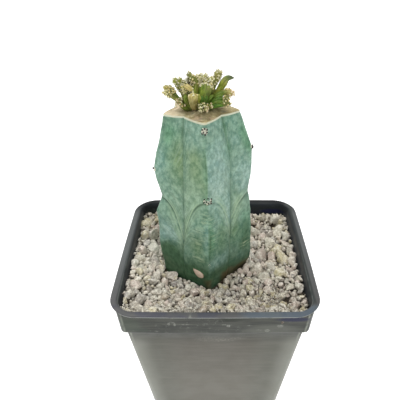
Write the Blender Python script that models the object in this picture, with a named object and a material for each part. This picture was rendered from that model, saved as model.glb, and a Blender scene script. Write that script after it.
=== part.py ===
"""A grafted Mammillaria in a square nursery pot filled with pumice.

The pot stands on z = 0 with its centre on the z axis. The front of the pot faces -y.
"""

import math
import random

import bmesh
import bpy
from mathutils import Matrix, Vector

MM = 0.001

# Pot: half widths of the square, measured at the middle of a side
POT_HEIGHT = 80.0
LIP_HALF = 35.0
LIP_THICKNESS = 1.0
COLLAR_HALF = 32.75
COLLAR_FOOT_HALF = 32.1
COLLAR_FOOT_Z = 68.6
BODY_HALF = 30.65
FOOT_HALF = 23.25
WALL = 0.95
FLOOR = 1.3
DRAIN_RADIUS = 3.5
DRAIN_OFFSET = 14.0
CORNER_STEPS = 5
CORNERS = 4

# Substrate and stones
GAP = 0.3
BED_MIDDLE_Z = 71.4
BED_RISE = 3.1
BED_SLOPE = 0.01
STONE_PITCH = 4.6
STONE_RADIUS = 2.4
STONE_SPREAD = 0.5
STONE_SEED = 11

# Rootstock: a five-ribbed stem on an upright axis
STEM_X = -4.5
STEM_Y = 2.1
STEM_Z = 75.0
STEM_TOP = 60.0
RIB_AZIMUTHS = (201.0, 276.0, 355.0, 425.0, 493.0)
CREST_ROUND = 0.24
CREST_TANGENT = 0.73
LINE_CREST = 30.5
LINE_DROP = 13.0
LEVELS = (
    -19, -17, -12, -6, -2, 1, 4, 8, 12, 16, 20, 23, 25, 27, 29, 30.8, 33,
    36, 39, 42, 45, 48, 51, 54, 57, 59.3, 60,
)

# Radius of a crest or valley at heights above the gravel line
BURIED_CREST = ((-19, 4.0), (-17, 7.0), (-12, 11.0), (-6, 14.6))
LEFT_CREST = BURIED_CREST + (
    (-1, 15.7), (7, 16.7), (20, 16.6), (25, 17.0), (28, 15.1), (30.5, 14.5), (34, 15.5), (38, 16.4),
    (42, 16.9), (47, 15.8), (51, 14.5), (60, 12.6),
)
RIGHT_CREST = BURIED_CREST + (
    (-2, 17.0), (3, 18.3), (15, 17.8), (22, 17.5), (27, 16.4), (30, 16.0), (38, 16.9), (47, 16.8),
    (52, 15.2), (60, 12.5),
)
FRONT_CREST = BURIED_CREST + (
    (0, 15.3), (10, 16.1), (26, 16.0), (30.5, 14.8), (36, 15.1), (42, 15.5), (52, 14.2), (60, 12.5),
)
BACK_CREST = BURIED_CREST + (
    (0, 16.3), (10, 17.0), (25, 16.8), (30.5, 15.2), (36, 16.0), (42, 16.7), (52, 14.7), (60, 12.5),
)
CRESTS = (LEFT_CREST, FRONT_CREST, RIGHT_CREST, BACK_CREST, BACK_CREST)
VALLEY = (
    (-19, 3.5), (-17, 6.2), (-12, 9.6), (-6, 11.9), (0, 13.1), (9, 13.3), (18, 13.1), (30, 12.6),
    (41, 12.0), (50, 10.8), (60, 8.6),
)

# Areoles: rib number and heights of its spine clusters
AREOLES = ((0, (41.4,)), (1, (8, 34, 57.6)), (2, (47.3,)), (3, (10, 33, 56)), (4, (9, 34, 57)))
PAD_RADIUS = 1.15
AREOLE_SPINES = 5
SPINE_LENGTH = 1.8
SPINE_RADIUS = 0.24
SCAR_LENGTH = 5.4
SCAR_WIDTH = 1.8
SCAR_RISE = 0.55

# Scion: finger-like tubercles that spread from a small core
SCION_X = -4.9
SCION_Y = 1.8
SCION_Z = 135.5
CORE_RADIUS = 4.0
CORE_HEIGHT = 5.0
TUFT_SPINES = 3
TUFT_SPINE_LENGTH = 1.9
SCION_SEED = 8
REAR_TUBERCLES = 9

# Front tubercles: x, y, z of the tip, then radius of the shaft and of the woolly tuft
FRONT_TUBERCLES = (
    (-15.7, 2.0, 142.0, 1.15, 1.35),
    (-11.5, 2.0, 145.1, 1.10, 1.30),
    (-7.5, 4.0, 146.4, 1.10, 1.30),
    (-8.2, -2.5, 143.0, 1.10, 1.20),
    (-6.6, -6.0, 141.2, 1.50, 1.20),
    (-5.8, 1.0, 145.0, 1.10, 1.00),
    (-3.9, 5.5, 145.2, 1.10, 1.40),
    (-2.5, 0.5, 144.0, 1.30, 1.55),
    (0.8, 4.0, 146.6, 1.05, 1.35),
    (5.8, 3.0, 145.0, 1.05, 0.0),
    (4.9, -1.5, 141.8, 1.10, 1.35),
    (4.0, -4.5, 140.0, 1.10, 1.35),
    (-2.7, -8.0, 139.3, 1.10, 1.40),
    (-11.2, -5.0, 140.2, 1.10, 1.35),
    (-12.0, 5.0, 140.6, 1.10, 1.30),
    (0.9, -6.8, 139.0, 1.10, 1.30),
    (-1.8, 4.6, 144.2, 1.05, 1.20),
    (-8.8, 6.0, 144.0, 1.05, 1.20),
)


def clear_scene():
    for obj in list(bpy.data.objects):
        bpy.data.objects.remove(obj, do_unlink=True)


def new_collection(name):
    collection = bpy.data.collections.new(name)
    bpy.context.scene.collection.children.link(collection)
    return collection


def material(name, color, roughness):
    made = bpy.data.materials.new(name)
    made.use_nodes = True
    shader = made.node_tree.nodes["Principled BSDF"]
    shader.inputs["Base Color"].default_value = (*color, 1.0)
    shader.inputs["Roughness"].default_value = roughness
    made.diffuse_color = (*color, 1.0)
    return made


def object_from(name, body, collection):
    mesh = bpy.data.meshes.new(name)
    body.to_mesh(mesh)
    body.free()
    made = bpy.data.objects.new(name, mesh)
    collection.objects.link(made)
    return made


def loft(name, rings, collection):
    """Joins rings of equal point counts, given in millimetres, and closes both ends."""
    body = bmesh.new()
    loops = [[body.verts.new(Vector(point) * MM) for point in ring] for ring in rings]
    for low, high in zip(loops, loops[1:]):
        for i in range(len(low)):
            body.faces.new((low[i - 1], low[i], high[i], high[i - 1]))
    for loop in (loops[0], loops[-1]):
        middle = body.verts.new(sum((vert.co for vert in loop), Vector()) / len(loop))
        for i in range(len(loop)):
            body.faces.new((loop[i - 1], loop[i], middle))
    bmesh.ops.recalc_face_normals(body, faces=body.faces)
    return object_from(name, body, collection)


def cone(name, root, tip, radius, tip_radius, sides, collection):
    """A straight round bar or needle from root to tip, in millimetres."""
    body = bmesh.new()
    length = (tip - root).length
    aim = (tip - root).to_track_quat("Z", "Y").to_matrix().to_4x4()
    place = Matrix.Translation((root + tip) / 2 * MM) @ aim
    bmesh.ops.create_cone(
        body,
        cap_ends=True,
        cap_tris=False,
        segments=sides,
        radius1=radius * MM,
        radius2=tip_radius * MM,
        depth=length * MM,
        matrix=place,
    )
    return object_from(name, body, collection)


def blob(name, centre, radii, turn, subdivisions, jitter, draw, collection):
    """A rough ellipsoid: its corners move in or out by the jitter share."""
    body = bmesh.new()
    bmesh.ops.create_icosphere(body, subdivisions=subdivisions, radius=1.0)
    for vert in body.verts:
        vert.co *= 1.0 + draw.uniform(-jitter, jitter)
        scaled = Vector(c * r for c, r in zip(vert.co, radii))
        vert.co = (centre + turn @ scaled) * MM
    return object_from(name, body, collection)


def boolean(target, operand, operation, solver):
    step = target.modifiers.new(operation.title(), "BOOLEAN")
    step.operation = operation
    step.solver = solver
    if isinstance(operand, bpy.types.Collection):
        step.operand_type = "COLLECTION"
        step.collection = operand
    else:
        step.object = operand
    return step


def apply_step(target, step):
    with bpy.context.temp_override(object=target, active_object=target):
        bpy.ops.object.modifier_apply(modifier=step.name)


def keep_largest_shell(target):
    """Drops the skins of hollows that fusing has sealed, and any loose sliver."""
    body = bmesh.new()
    body.from_mesh(target.data)
    left = set(body.faces)
    shells = []
    while left:
        start = left.pop()
        shell = [start]
        for face in shell:
            for edge in face.edges:
                for other in edge.link_faces if len(edge.link_faces) == 2 else ():
                    if other in left:
                        left.remove(other)
                        shell.append(other)
        shells.append(shell)
    shells.sort(key=lambda shell: sum(face.calc_area() for face in shell))
    for shell in shells[:-1]:
        bmesh.ops.delete(body, geom=shell, context="FACES")
    body.to_mesh(target.data)
    body.free()


def union_and_discard(target, collection):
    """Fuses a collection of repeats into the target, then removes the repeats."""
    apply_step(target, boolean(target, collection, "UNION", "MANIFOLD"))
    for obj in list(collection.objects):
        bpy.data.objects.remove(obj, do_unlink=True)
    bpy.data.collections.remove(collection)
    keep_largest_shell(target)


def rounded_square(half, radius, z):
    """Points of a square with rounded corners, anticlockwise from the +x side."""
    points = []
    for corner in range(CORNERS):
        turn = corner * math.pi / 2
        for step in range(CORNER_STEPS + 1):
            angle = turn + step * math.pi / 2 / CORNER_STEPS
            mid = turn + math.pi / 4
            reach = (half - radius) * math.sqrt(2)
            x = reach * math.cos(mid) + radius * math.cos(angle)
            y = reach * math.sin(mid) + radius * math.sin(angle)
            points.append((x, y, z))
    return points


def square_reach(x, y, half, radius):
    """Distance of a point inside the rounded square from its edge, below zero outside."""
    dx = abs(x) - (half - radius)
    dy = abs(y) - (half - radius)
    outside = math.hypot(max(dx, 0), max(dy, 0))
    return radius - outside - min(max(dx, dy), 0)


def table(knots, at):
    """Height-by-height value, straight between knots and held beyond the ends."""
    if at <= knots[0][0]:
        return knots[0][1]
    for (low, a), (high, b) in zip(knots, knots[1:]):
        if at <= high:
            return a + (b - a) * (at - low) / (high - low)
    return knots[-1][1]


# Pot
def make_pot(collection, cutters):
    inner_top = COLLAR_HALF - WALL
    inner_foot = COLLAR_FOOT_HALF - WALL
    under_lip = POT_HEIGHT - LIP_THICKNESS
    rings = [
        rounded_square(FOOT_HALF - 0.5, 3.0, 0.0),
        rounded_square(FOOT_HALF, 3.2, 0.6),
        rounded_square(BODY_HALF, 3.6, COLLAR_FOOT_Z - 0.7),
        rounded_square(COLLAR_FOOT_HALF - 0.15, 3.9, COLLAR_FOOT_Z - 0.1),
        rounded_square(COLLAR_FOOT_HALF, 4.0, COLLAR_FOOT_Z + 0.3),
        rounded_square(COLLAR_HALF, 4.2, under_lip),
        rounded_square(LIP_HALF - 0.3, 9.0, under_lip + 0.05),
        rounded_square(LIP_HALF, 9.2, under_lip + 0.45),
        rounded_square(LIP_HALF - 0.3, 8.9, POT_HEIGHT),
        rounded_square(inner_top + 1.2, 6.4, POT_HEIGHT),
        rounded_square(inner_top + 0.3, 5.0, POT_HEIGHT - 0.8),
        rounded_square(inner_top, 3.6, POT_HEIGHT - 2.4),
        rounded_square(inner_foot, 3.2, COLLAR_FOOT_Z + 0.7),
        rounded_square(BODY_HALF - WALL, 2.8, COLLAR_FOOT_Z - 0.8),
        rounded_square(FOOT_HALF - WALL + 0.05, 2.4, FLOOR),
    ]
    pot = loft("pot", rings, collection)
    for side_x in (-1, 1):
        for side_y in (-1, 1):
            low = Vector((side_x * DRAIN_OFFSET, side_y * DRAIN_OFFSET, -1.0))
            high = low + Vector((0, 0, FLOOR + 2.0))
            drain = cone("drain", low, high, DRAIN_RADIUS, DRAIN_RADIUS, 16, cutters)
            drain.hide_render = True
            drain.display_type = "WIRE"
            boolean(pot, drain, "DIFFERENCE", "EXACT")
    return pot


# Rootstock
def line_shift(level):
    """How far the valley of a row lies below its crests: most at the growth line."""
    if level <= 0 or level >= STEM_TOP:
        return 0.0
    if level < LINE_CREST:
        return -LINE_DROP * level / LINE_CREST
    return -LINE_DROP * (STEM_TOP - level) / (STEM_TOP - LINE_CREST)


def stem_row(level, swell=0.0):
    """One row of points around the ribs, eight to a rib, grown outwards by swell."""
    valley_level = level + line_shift(level)
    valley = table(VALLEY, valley_level) + swell
    corners = []
    for rib, azimuth in enumerate(RIB_AZIMUTHS):
        after = RIB_AZIMUTHS[(rib + 1) % len(RIB_AZIMUTHS)]
        between = (azimuth + after + (360 if after < azimuth else 0)) / 2
        crest = table(CRESTS[rib], level) + swell + CREST_ROUND
        corners.append((crest, math.radians(azimuth), level))
        corners.append((valley, math.radians(between), valley_level))
    row = []
    for i, (radius, angle, height) in enumerate(corners):
        x = radius * math.cos(angle)
        y = radius * math.sin(angle)
        if i % 2 == 0:
            pulled = (radius - CREST_ROUND) / radius
            row.append((x * pulled, y * pulled, height))
        else:
            row.append((x, y, height))
        radius, angle, _ = corners[(i + 1) % len(corners)]
        dx = radius * math.cos(angle) - x
        dy = radius * math.sin(angle) - y
        tangent = CREST_TANGENT / math.hypot(dx, dy)
        shares = (tangent, 0.5, 0.93) if i % 2 == 0 else (0.07, 0.5, 1 - tangent)
        for share in shares:
            along = share if i % 2 == 0 else 1 - share
            rise = level + (valley_level - level) * (0.45 * along + 0.55 * along ** 3)
            row.append((x + dx * share, y + dy * share, rise))
    return [(STEM_X + x, STEM_Y + y, STEM_Z + z) for x, y, z in row]


def crest_point(rib, height):
    angle = math.radians(RIB_AZIMUTHS[rib])
    radius = table(CRESTS[rib], height)
    out = Vector((math.cos(angle), math.sin(angle), 0))
    return Vector((STEM_X, STEM_Y, STEM_Z + height)) + out * radius, out


def shrunk(row, share, z):
    return [(STEM_X + (x - STEM_X) * share, STEM_Y + (y - STEM_Y) * share, z) for x, y, _ in row]


def make_rootstock(collection):
    rows = [stem_row(level) for level in LEVELS]
    top = rows[-1]
    top_z = STEM_Z + STEM_TOP
    rows[-1] = shrunk(top, 0.97, top_z)
    rows.append(shrunk(top, 0.88, top_z - 0.3))
    rows.append(shrunk(top, 0.55, top_z + 0.1))
    stem = loft("rootstock", rows, collection)
    draw = random.Random(3)
    details = new_collection("stem_details")
    for rib, heights in AREOLES:
        for height in heights:
            at, out = crest_point(rib, height)
            turn = out.to_track_quat("X", "Z").to_matrix()
            radii = (0.75, PAD_RADIUS * 0.85, PAD_RADIUS)
            blob("pad", at - out * 0.2, radii, turn, 1, 0.08, draw, details)
            start = draw.uniform(0, 2 * math.pi)
            for number in range(AREOLE_SPINES):
                angle = start + number * 2 * math.pi / AREOLE_SPINES
                fan = turn @ Vector((0, math.cos(angle), math.sin(angle)))
                aim = (out * draw.uniform(0.55, 0.9) + fan).normalized()
                root = at - out * 0.3 + fan * 0.25
                tip = root + aim * SPINE_LENGTH * draw.uniform(0.8, 1.15)
                cone("spine", root, tip, SPINE_RADIUS, SPINE_RADIUS * 0.3, 3, details)
    # Corky scar low on the front left flank, its long axis sloping down to the right
    azimuth = math.radians(253.0)
    out = Vector((math.cos(azimuth), math.sin(azimuth), 0))
    along = Vector((out.y * -1, out.x, -0.95)).normalized()
    across = out.cross(along)
    turn = Matrix((along, across, out)).transposed()
    at = Vector((STEM_X, STEM_Y, STEM_Z + 5.4)) + out * 13.9
    radii = (SCAR_LENGTH / 2, SCAR_WIDTH / 2, SCAR_RISE + 0.5)
    blob("scar", at, radii, turn, 2, 0.03, draw, details)
    union_and_discard(stem, details)
    return stem


# Substrate
def bed_height(x, y):
    share = max(abs(x), abs(y)) / 31.0
    ease = min(max((share - 0.55) / 0.45, 0.0), 1.0)
    tilt = -BED_SLOPE * (x + y)
    return BED_MIDDLE_Z + BED_RISE * ease * ease * (3 - 2 * ease) + tilt


def stem_clearance(x, y):
    """Rough distance of a point from the stem where it enters the gravel."""
    row = stem_row(-1)
    return min(math.hypot(x - px, y - py) for px, py, _ in row)


def inside_stem(x, y):
    return math.hypot(x - STEM_X, y - STEM_Y) < 12.8


def make_bed(collection, cutters):
    half = COLLAR_FOOT_HALF - WALL - GAP
    top_half = half + 0.3
    rings = [
        rounded_square(FOOT_HALF - WALL - GAP, 2.2, FLOOR + GAP),
        rounded_square(BODY_HALF - WALL - GAP - 0.05, 2.6, COLLAR_FOOT_Z - 0.7),
        rounded_square(half - 0.02, 2.9, COLLAR_FOOT_Z + 1.1),
        rounded_square(top_half, 3.2, BED_MIDDLE_Z + BED_RISE - 0.2),
        rounded_square(24.5, 6.0, BED_MIDDLE_Z + BED_RISE * 0.45),
        rounded_square(18.0, 9.0, BED_MIDDLE_Z),
    ]
    bed = loft("pumice_bed", rings, collection)
    stones = new_collection("stones")
    draw = random.Random(STONE_SEED)
    rows = int(60 / (STONE_PITCH * 0.866)) + 2
    for row in range(-rows // 2, rows // 2 + 1):
        for column in range(-rows // 2, rows // 2 + 1):
            x = (column + (row % 2) / 2) * STONE_PITCH + draw.uniform(-0.6, 0.6)
            y = row * STONE_PITCH * 0.866 + draw.uniform(-0.6, 0.6)
            size = STONE_RADIUS + draw.uniform(-1, 1) * STONE_SPREAD
            radii = [size * draw.uniform(0.82, 1.2) for _ in range(3)]
            lift = draw.uniform(-0.5, 0.7)
            axis = Vector((draw.gauss(0, 1), draw.gauss(0, 1), draw.gauss(0, 1))).normalized()
            turn = Matrix.Rotation(draw.uniform(0, math.pi), 3, axis)
            reach = max(radii) * 1.12
            inside = square_reach(x, y, half + 0.25, 3.3) > -0.9
            if not inside or inside_stem(x, y) or stem_clearance(x, y) < 0.9:
                continue
            while square_reach(x, y, half + 0.25, 3.3) < reach:
                x *= 0.99
                y *= 0.99
            centre = Vector((x, y, bed_height(x, y) - 0.4 + lift))
            blob("stone", centre, radii, turn, 1, 0.12, draw, stones)
    union_and_discard(bed, stones)
    levels = [level for level in LEVELS if level < 5]
    rows = [stem_row(level, 0.35) for level in levels]
    lowest = [(x, y, z - 0.4) for x, y, z in rows[0]]
    hole = loft("stem_hole", [lowest] + rows[1:], cutters)
    hole.hide_render = True
    hole.display_type = "WIRE"
    apply_step(bed, boolean(bed, hole, "DIFFERENCE", "MANIFOLD"))
    keep_largest_shell(bed)
    return bed


# Scion
def tubercle(root, tip, girth, tuft, bend, collection):
    """A curved finger, widest near its end, or pointed where it carries no tuft."""
    middle = (root + tip) / 2 + bend
    shape = ((0.0, 1.0), (0.3, 0.95), (0.6, 0.95), (0.85, 1.08), (1.0, 0.7))
    if not tuft:
        shape = ((0.0, 1.1), (0.3, 1.05), (0.6, 1.0), (0.82, 0.75), (1.0, 0.22))
    rings = []
    for share, width in shape:
        at = root * (1 - share) ** 2 + middle * 2 * share * (1 - share) + tip * share ** 2
        axis = ((middle - root) * (1 - share) + (tip - middle) * share).normalized()
        side = axis.cross(Vector((0.3, 0.5, 0.81))).normalized()
        other = axis.cross(side)
        ring = []
        for step in range(6):
            angle = step * 2 * math.pi / 6
            ring.append(at + (side * math.cos(angle) + other * math.sin(angle)) * girth * width)
        rings.append(ring)
    loft("tubercle", rings, collection)
    return (tip - middle).normalized()


def make_scion(collection):
    draw = random.Random(SCION_SEED)
    centre = Vector((SCION_X, SCION_Y, SCION_Z))
    rings = []
    for lean in (-40, -15, 12, 36, 60, 80):
        angle = math.radians(lean)
        low = math.sin(math.radians(-40))
        rise = CORE_HEIGHT * (math.sin(angle) - low) / (1 - low)
        ring = []
        for step in range(12):
            turn = step * 2 * math.pi / 12
            reach = CORE_RADIUS * math.cos(angle)
            ring.append(centre + Vector((reach * math.cos(turn), reach * math.sin(turn), rise)))
        rings.append(ring)
    core = loft("scion", rings, collection)
    tips = [(Vector((x, y, z)), girth, tuft) for x, y, z, girth, tuft in FRONT_TUBERCLES]
    for number in range(REAR_TUBERCLES):
        azimuth = math.radians(15 + number * 150 / (REAR_TUBERCLES - 1) + draw.uniform(-4, 4))
        low = number % 2 == 0
        reach = draw.uniform(8.6, 9.8) if low else draw.uniform(5.0, 6.4)
        rise = draw.uniform(4.6, 6.4) if low else draw.uniform(8.6, 10.2)
        out = Vector((math.cos(azimuth), math.sin(azimuth), 0))
        tip = centre + out * reach + Vector((0, 0, rise))
        tips.append((tip, draw.uniform(1.05, 1.2), draw.uniform(1.25, 1.4)))
    details = new_collection("tubercles")
    for tip, girth, tuft in tips:
        flat = Vector((tip.x - centre.x, tip.y - centre.y, 0))
        out = flat.normalized() if flat.length > 0.5 else Vector((0, 0, 0))
        root = centre + out * min(2.7, flat.length * 0.5) + Vector((0, 0, 1.7))
        bend = out * 0.5 + Vector((0, 0, -0.2))
        if not tuft:
            bend = Vector((-0.9, 0, 1.4))
        axis = tubercle(root, tip, girth, tuft, bend, details)
        if not tuft:
            continue
        turn = axis.to_track_quat("Z", "Y").to_matrix()
        blob("tuft", tip, (tuft, tuft, tuft * 0.8), turn, 1, 0.14, draw, details)
        start = draw.uniform(0, 2 * math.pi)
        for count in range(TUFT_SPINES):
            angle = start + count * 2 * math.pi / TUFT_SPINES
            fan = turn @ Vector((math.cos(angle), math.sin(angle), 0))
            aim = (axis * draw.uniform(0.3, 0.8) + fan).normalized()
            end = tip + aim * TUFT_SPINE_LENGTH * draw.uniform(0.85, 1.15)
            cone("spine", tip + aim * 0.4, end, SPINE_RADIUS, SPINE_RADIUS * 0.3, 3, details)
    union_and_discard(core, details)
    return core


def main():
    clear_scene()
    bpy.context.scene.unit_settings.scale_length = 1.0
    parts = new_collection("potted_mammillaria")
    cutters = new_collection("cutters")
    cutters.hide_render = True
    finishes = {
        "pot": ((0.055, 0.058, 0.062), 0.45),
        "pumice_bed": ((0.55, 0.47, 0.40), 0.95),
        "rootstock": ((0.13, 0.30, 0.24), 0.55),
        "scion": ((0.27, 0.33, 0.10), 0.6),
    }
    made = {
        "pot": make_pot(parts, cutters),
        "pumice_bed": make_bed(parts, cutters),
        "rootstock": make_rootstock(parts),
        "scion": make_scion(parts),
    }
    for name, (color, roughness) in finishes.items():
        made[name].data.materials.clear()
        made[name].data.materials.append(material(name, color, roughness))


main()
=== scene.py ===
"""Looks of a small Mammillaria grafted on a ribbed column, in a square nursery pot of pumice.

Lengths in the shapes below are millimetres, turned into metres when a mesh is made.
"""

import math

import bmesh
import bpy
import numpy as np
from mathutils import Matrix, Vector


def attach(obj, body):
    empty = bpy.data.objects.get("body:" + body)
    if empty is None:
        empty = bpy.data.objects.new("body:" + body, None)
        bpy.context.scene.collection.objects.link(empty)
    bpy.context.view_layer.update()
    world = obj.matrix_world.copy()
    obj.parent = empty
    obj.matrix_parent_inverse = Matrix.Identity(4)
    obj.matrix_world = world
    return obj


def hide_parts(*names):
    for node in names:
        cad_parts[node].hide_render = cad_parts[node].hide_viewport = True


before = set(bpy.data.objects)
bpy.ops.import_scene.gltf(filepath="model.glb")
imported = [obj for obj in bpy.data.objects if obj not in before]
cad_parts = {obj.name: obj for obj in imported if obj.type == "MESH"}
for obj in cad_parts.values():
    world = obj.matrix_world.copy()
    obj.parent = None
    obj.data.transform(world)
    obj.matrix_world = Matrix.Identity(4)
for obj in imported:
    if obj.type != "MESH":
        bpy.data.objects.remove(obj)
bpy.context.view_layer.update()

MM = 0.001
TAU = 2 * math.pi
GOLDEN_TURN = 2.39996
SEED = 29
MOST_TRIANGLES = 190000

# Pot: half widths of its square, heights, wall and drains
POT_HEIGHT = 80.0
LIP_HALF = 35.0
COLLAR_HALF = 32.75
COLLAR_FOOT_HALF = 32.1
COLLAR_FOOT_Z = 68.6
BODY_HALF = 30.65
FOOT_HALF = 23.25
WALL = 0.95
FLOOR = 1.3
DRAIN_AT = 14
DRAIN_RADIUS = 3.5

# Rootstock: where its axis meets the gravel line, and the height of the cut above that line
STEM_X, STEM_Y, STEM_Z, STEM_TOP = -4.5, 2.1, 75.0, 60.0
CUT_Z = STEM_Z + STEM_TOP
# Azimuths of ribs and valleys in degrees, at heights above the gravel line
RIBS = (
    ((0, 201.0),), ((0, 278.0), (44, 278.3), (56, 276.2), (60, 275.8)), ((0, 355.0),), ((0, 425.0),),
    ((0, 493.0),),
)
VALLEYS = (
    ((15, 237.8), (25, 239.5), (35, 240.6), (45, 240.8), (52, 238.8), (56, 235.0), (60, 231.5)),
    ((10, 317.0), (22, 318.6), (35, 321.0), (42, 322.0), (49, 324.2), (52, 323.5), (56, 321.4), (60, 320.0)),
    ((0, 390.0), (60, 390.0)),
    ((0, 459.0), (60, 459.0)),
    ((0, 527.0), (60, 527.0)),
)
# The growth line on the crests, and its fall from there to the valleys
LINE_CREST = 30.5
LINE_DROP = 13.0
# Reach of each crest, and of the valleys, at heights above the gravel line
BURIED = ((-19, 4.0), (-17, 7.0), (-12, 11.0), (-6, 14.6))
LEFT_CREST = BURIED + (
    (-1, 15.7), (2, 15.9), (7, 16.7), (12, 16.8), (20.5, 16.6), (25, 17.0), (26.7, 15.9), (28.6, 14.9),
    (30.5, 14.4), (34, 15.45), (38, 16.4), (42, 16.9), (47.3, 15.8), (50.7, 14.6), (54, 13.7),
    (57, 13.0), (60, 12.6),
)
RIGHT_CREST = BURIED + (
    (-1.8, 17.0), (0.8, 18.1), (3, 18.3), (8, 18.1), (15, 17.8), (22, 17.5), (27.4, 16.3), (30, 15.9),
    (33.6, 16.4), (37.6, 16.9), (41.5, 16.95), (47.1, 16.8), (52.5, 15.1), (56, 13.9), (60, 12.5),
)
FRONT_CREST = BURIED + (
    (0, 15.5), (10, 16.1), (26, 16.0), (30.5, 14.8), (36, 15.1), (42, 15.5), (52, 14.2), (60, 12.5),
)
BACK_CREST = BURIED + (
    (0, 16.3), (10, 17.0), (25, 16.8), (30.5, 15.2), (36, 16.0), (42, 16.7), (52, 14.7), (60, 12.5),
)
CRESTS = (LEFT_CREST, FRONT_CREST, RIGHT_CREST, BACK_CREST, BACK_CREST)
CREST_BLUR = 0.55
VALLEY = (
    (-19, 3.5), (-17, 6.2), (-12, 9.6), (-6, 11.9), (0, 13.1), (9, 13.3), (18, 13.1), (30, 12.6),
    (41, 12.0), (50, 10.8), (60, 8.6),
)
# Radius of a crest, and steps round half of it and along a flank
FILLET = 1.0
HALF_STEPS = 7
RUN_STEPS = 22
STEM_LEVELS = np.concatenate([[-19, -17.5, -15, -12, -9, -6], np.arange(-4, 59.2, 0.31), [59.3, 59.5, 59.65]])

# Rib, height, size, width to height, and share of dark spines
AREOLES = (
    (0, 41.4, 0.55, 0.8, 0.25), (1, 8.2, 0.32, 1.3, 0.0), (1, 34.0, 1.1, 1.1, 0.45), (1, 57.4, 1.15, 0.66, 0.4),
    (2, 47.3, 0.62, 0.8, 0.4), (3, 10.0, 1.0, 0.8, 0.5), (3, 33.0, 1.0, 0.8, 0.5), (3, 56.0, 1.0, 0.8, 0.5),
    (4, 9.0, 1.0, 0.8, 0.5), (4, 34.0, 1.0, 0.8, 0.5), (4, 53.0, 1.0, 0.8, 0.5),
)
FELT_CLUMPS = 19
AREOLE_SPINES = 16
# Where the dark spines stand on each, across and up
DOTS = (
    (-0.75, 0.7), (0.05, 0.95), (0.8, 0.65), (-0.35, 0.05), (0.7, 0.0), (0.15, -0.6), (-0.85, -0.35),
    (0.75, -0.75),
)


# Noise on a lattice of hashed numbers, from -1 to 1
def lattice(cells, seed):
    mask = np.uint64(0xFFFFFFFF)
    parts = cells.astype(np.int64).astype(np.uint64)
    n = parts[..., 0] * np.uint64(374761393) + parts[..., 1] * np.uint64(668265263)
    n = (n + parts[..., 2] * np.uint64(3266489917) + np.uint64(seed * 1274126177 + 97)) & mask
    n = ((n ^ (n >> np.uint64(13))) * np.uint64(1274126177)) & mask
    n = n ^ (n >> np.uint64(16))
    return n.astype(float) / 0xFFFFFFFF * 2 - 1


def noise(points, size, seed=0):
    q = np.asarray(points, float) / size + 517.3
    cell = np.floor(q)
    f = q - cell
    f = f * f * (3 - 2 * f)
    total = 0.0
    for corner in range(8):
        step = np.array([corner & 1, corner >> 1 & 1, corner >> 2 & 1])
        weight = np.prod(np.where(step, f, 1 - f), axis=-1)
        total = total + weight * lattice(cell + step, seed)
    return total


# Profiles and falloffs
def smooth(knots, at, blur):
    """A profile through knots with its corners rounded over a distance of blur."""
    x, y = np.array(knots, float).T
    spread = np.linspace(-2, 2, 17)
    weight = np.exp(-spread ** 2)
    weight /= weight.sum()
    return sum(w * np.interp(np.asarray(at) + s * blur, x, y) for s, w in zip(spread, weight))


def ease(low, high, at):
    t = np.clip((np.asarray(at, float) - low) / (high - low), 0, 1)
    return t * t * (3 - 2 * t)


def gauss(x, middle, width):
    return np.exp(-((x - middle) / width) ** 2)


def turn_at(knots, level):
    return np.radians(np.interp(level, *np.array(knots).T))


def unit(vector):
    vector = np.asarray(vector, float)
    return vector / np.linalg.norm(vector)


# Meshes and objects
def stand(name, data):
    """A new object in the scene."""
    made = bpy.data.objects.new(name, data)
    bpy.context.scene.collection.objects.link(made)
    return made


def stand_body(name, body):
    """An object made of a bmesh, which is freed."""
    mesh = bpy.data.meshes.new(name)
    body.to_mesh(mesh)
    body.free()
    return stand(name, mesh)


def mesh_piece(name, points, faces, values, material):
    """An object from points and groups of faces, with one number per point for each named value."""
    mesh = bpy.data.meshes.new(name)
    groups = [np.asarray(group, np.int32) for group in faces]
    mesh.vertices.add(len(points))
    mesh.vertices.foreach_set("co", (np.asarray(points, np.float32) * MM).ravel())
    totals = np.concatenate([np.full(len(group), group.shape[1]) for group in groups])
    starts = np.concatenate([[0], np.cumsum(totals)[:-1]]).astype(np.int32)
    mesh.loops.add(int(totals.sum()))
    mesh.loops.foreach_set("vertex_index", np.concatenate([group.ravel() for group in groups]))
    mesh.polygons.add(len(totals))
    mesh.polygons.foreach_set("loop_start", starts)
    mesh.polygons.foreach_set("use_smooth", np.full(len(totals), True))
    for label, numbers in values.items():
        layer = mesh.attributes.new(label, "FLOAT", "POINT")
        layer.data.foreach_set("value", np.asarray(numbers, np.float32))
    mesh.update(calc_edges=True)
    mesh.validate()
    mesh.materials.append(material)
    piece = stand(name, mesh)
    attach(piece, "root")
    return piece


def grid_faces(rows, columns, closed=True):
    """Quads between neighbouring rows of points; closed joins the last column to the first."""
    last = columns if closed else columns - 1
    r, c = np.meshgrid(np.arange(rows - 1), np.arange(last), indexing="ij")
    d = (c + 1) % columns
    quads = np.stack([r * columns + c, r * columns + d, (r + 1) * columns + d, (r + 1) * columns + c], -1)
    return quads.reshape(-1, 4)


def fan_faces(ring, middle):
    return np.stack([ring, np.roll(ring, -1), np.full(len(ring), middle)], -1)


def closed_loft(rings, low, high):
    """Points, quads and end triangles of a skin through rings, closed at the points low and high."""
    rows, count = rings.shape[:2]
    total = rows * count
    ring = np.arange(count)
    ends = np.concatenate([fan_faces(ring, total)[:, ::-1], fan_faces(ring + total - count, total + 1)])
    return np.concatenate([rings.reshape(-1, 3), [low, high]]), grid_faces(rows, count), ends


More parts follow.
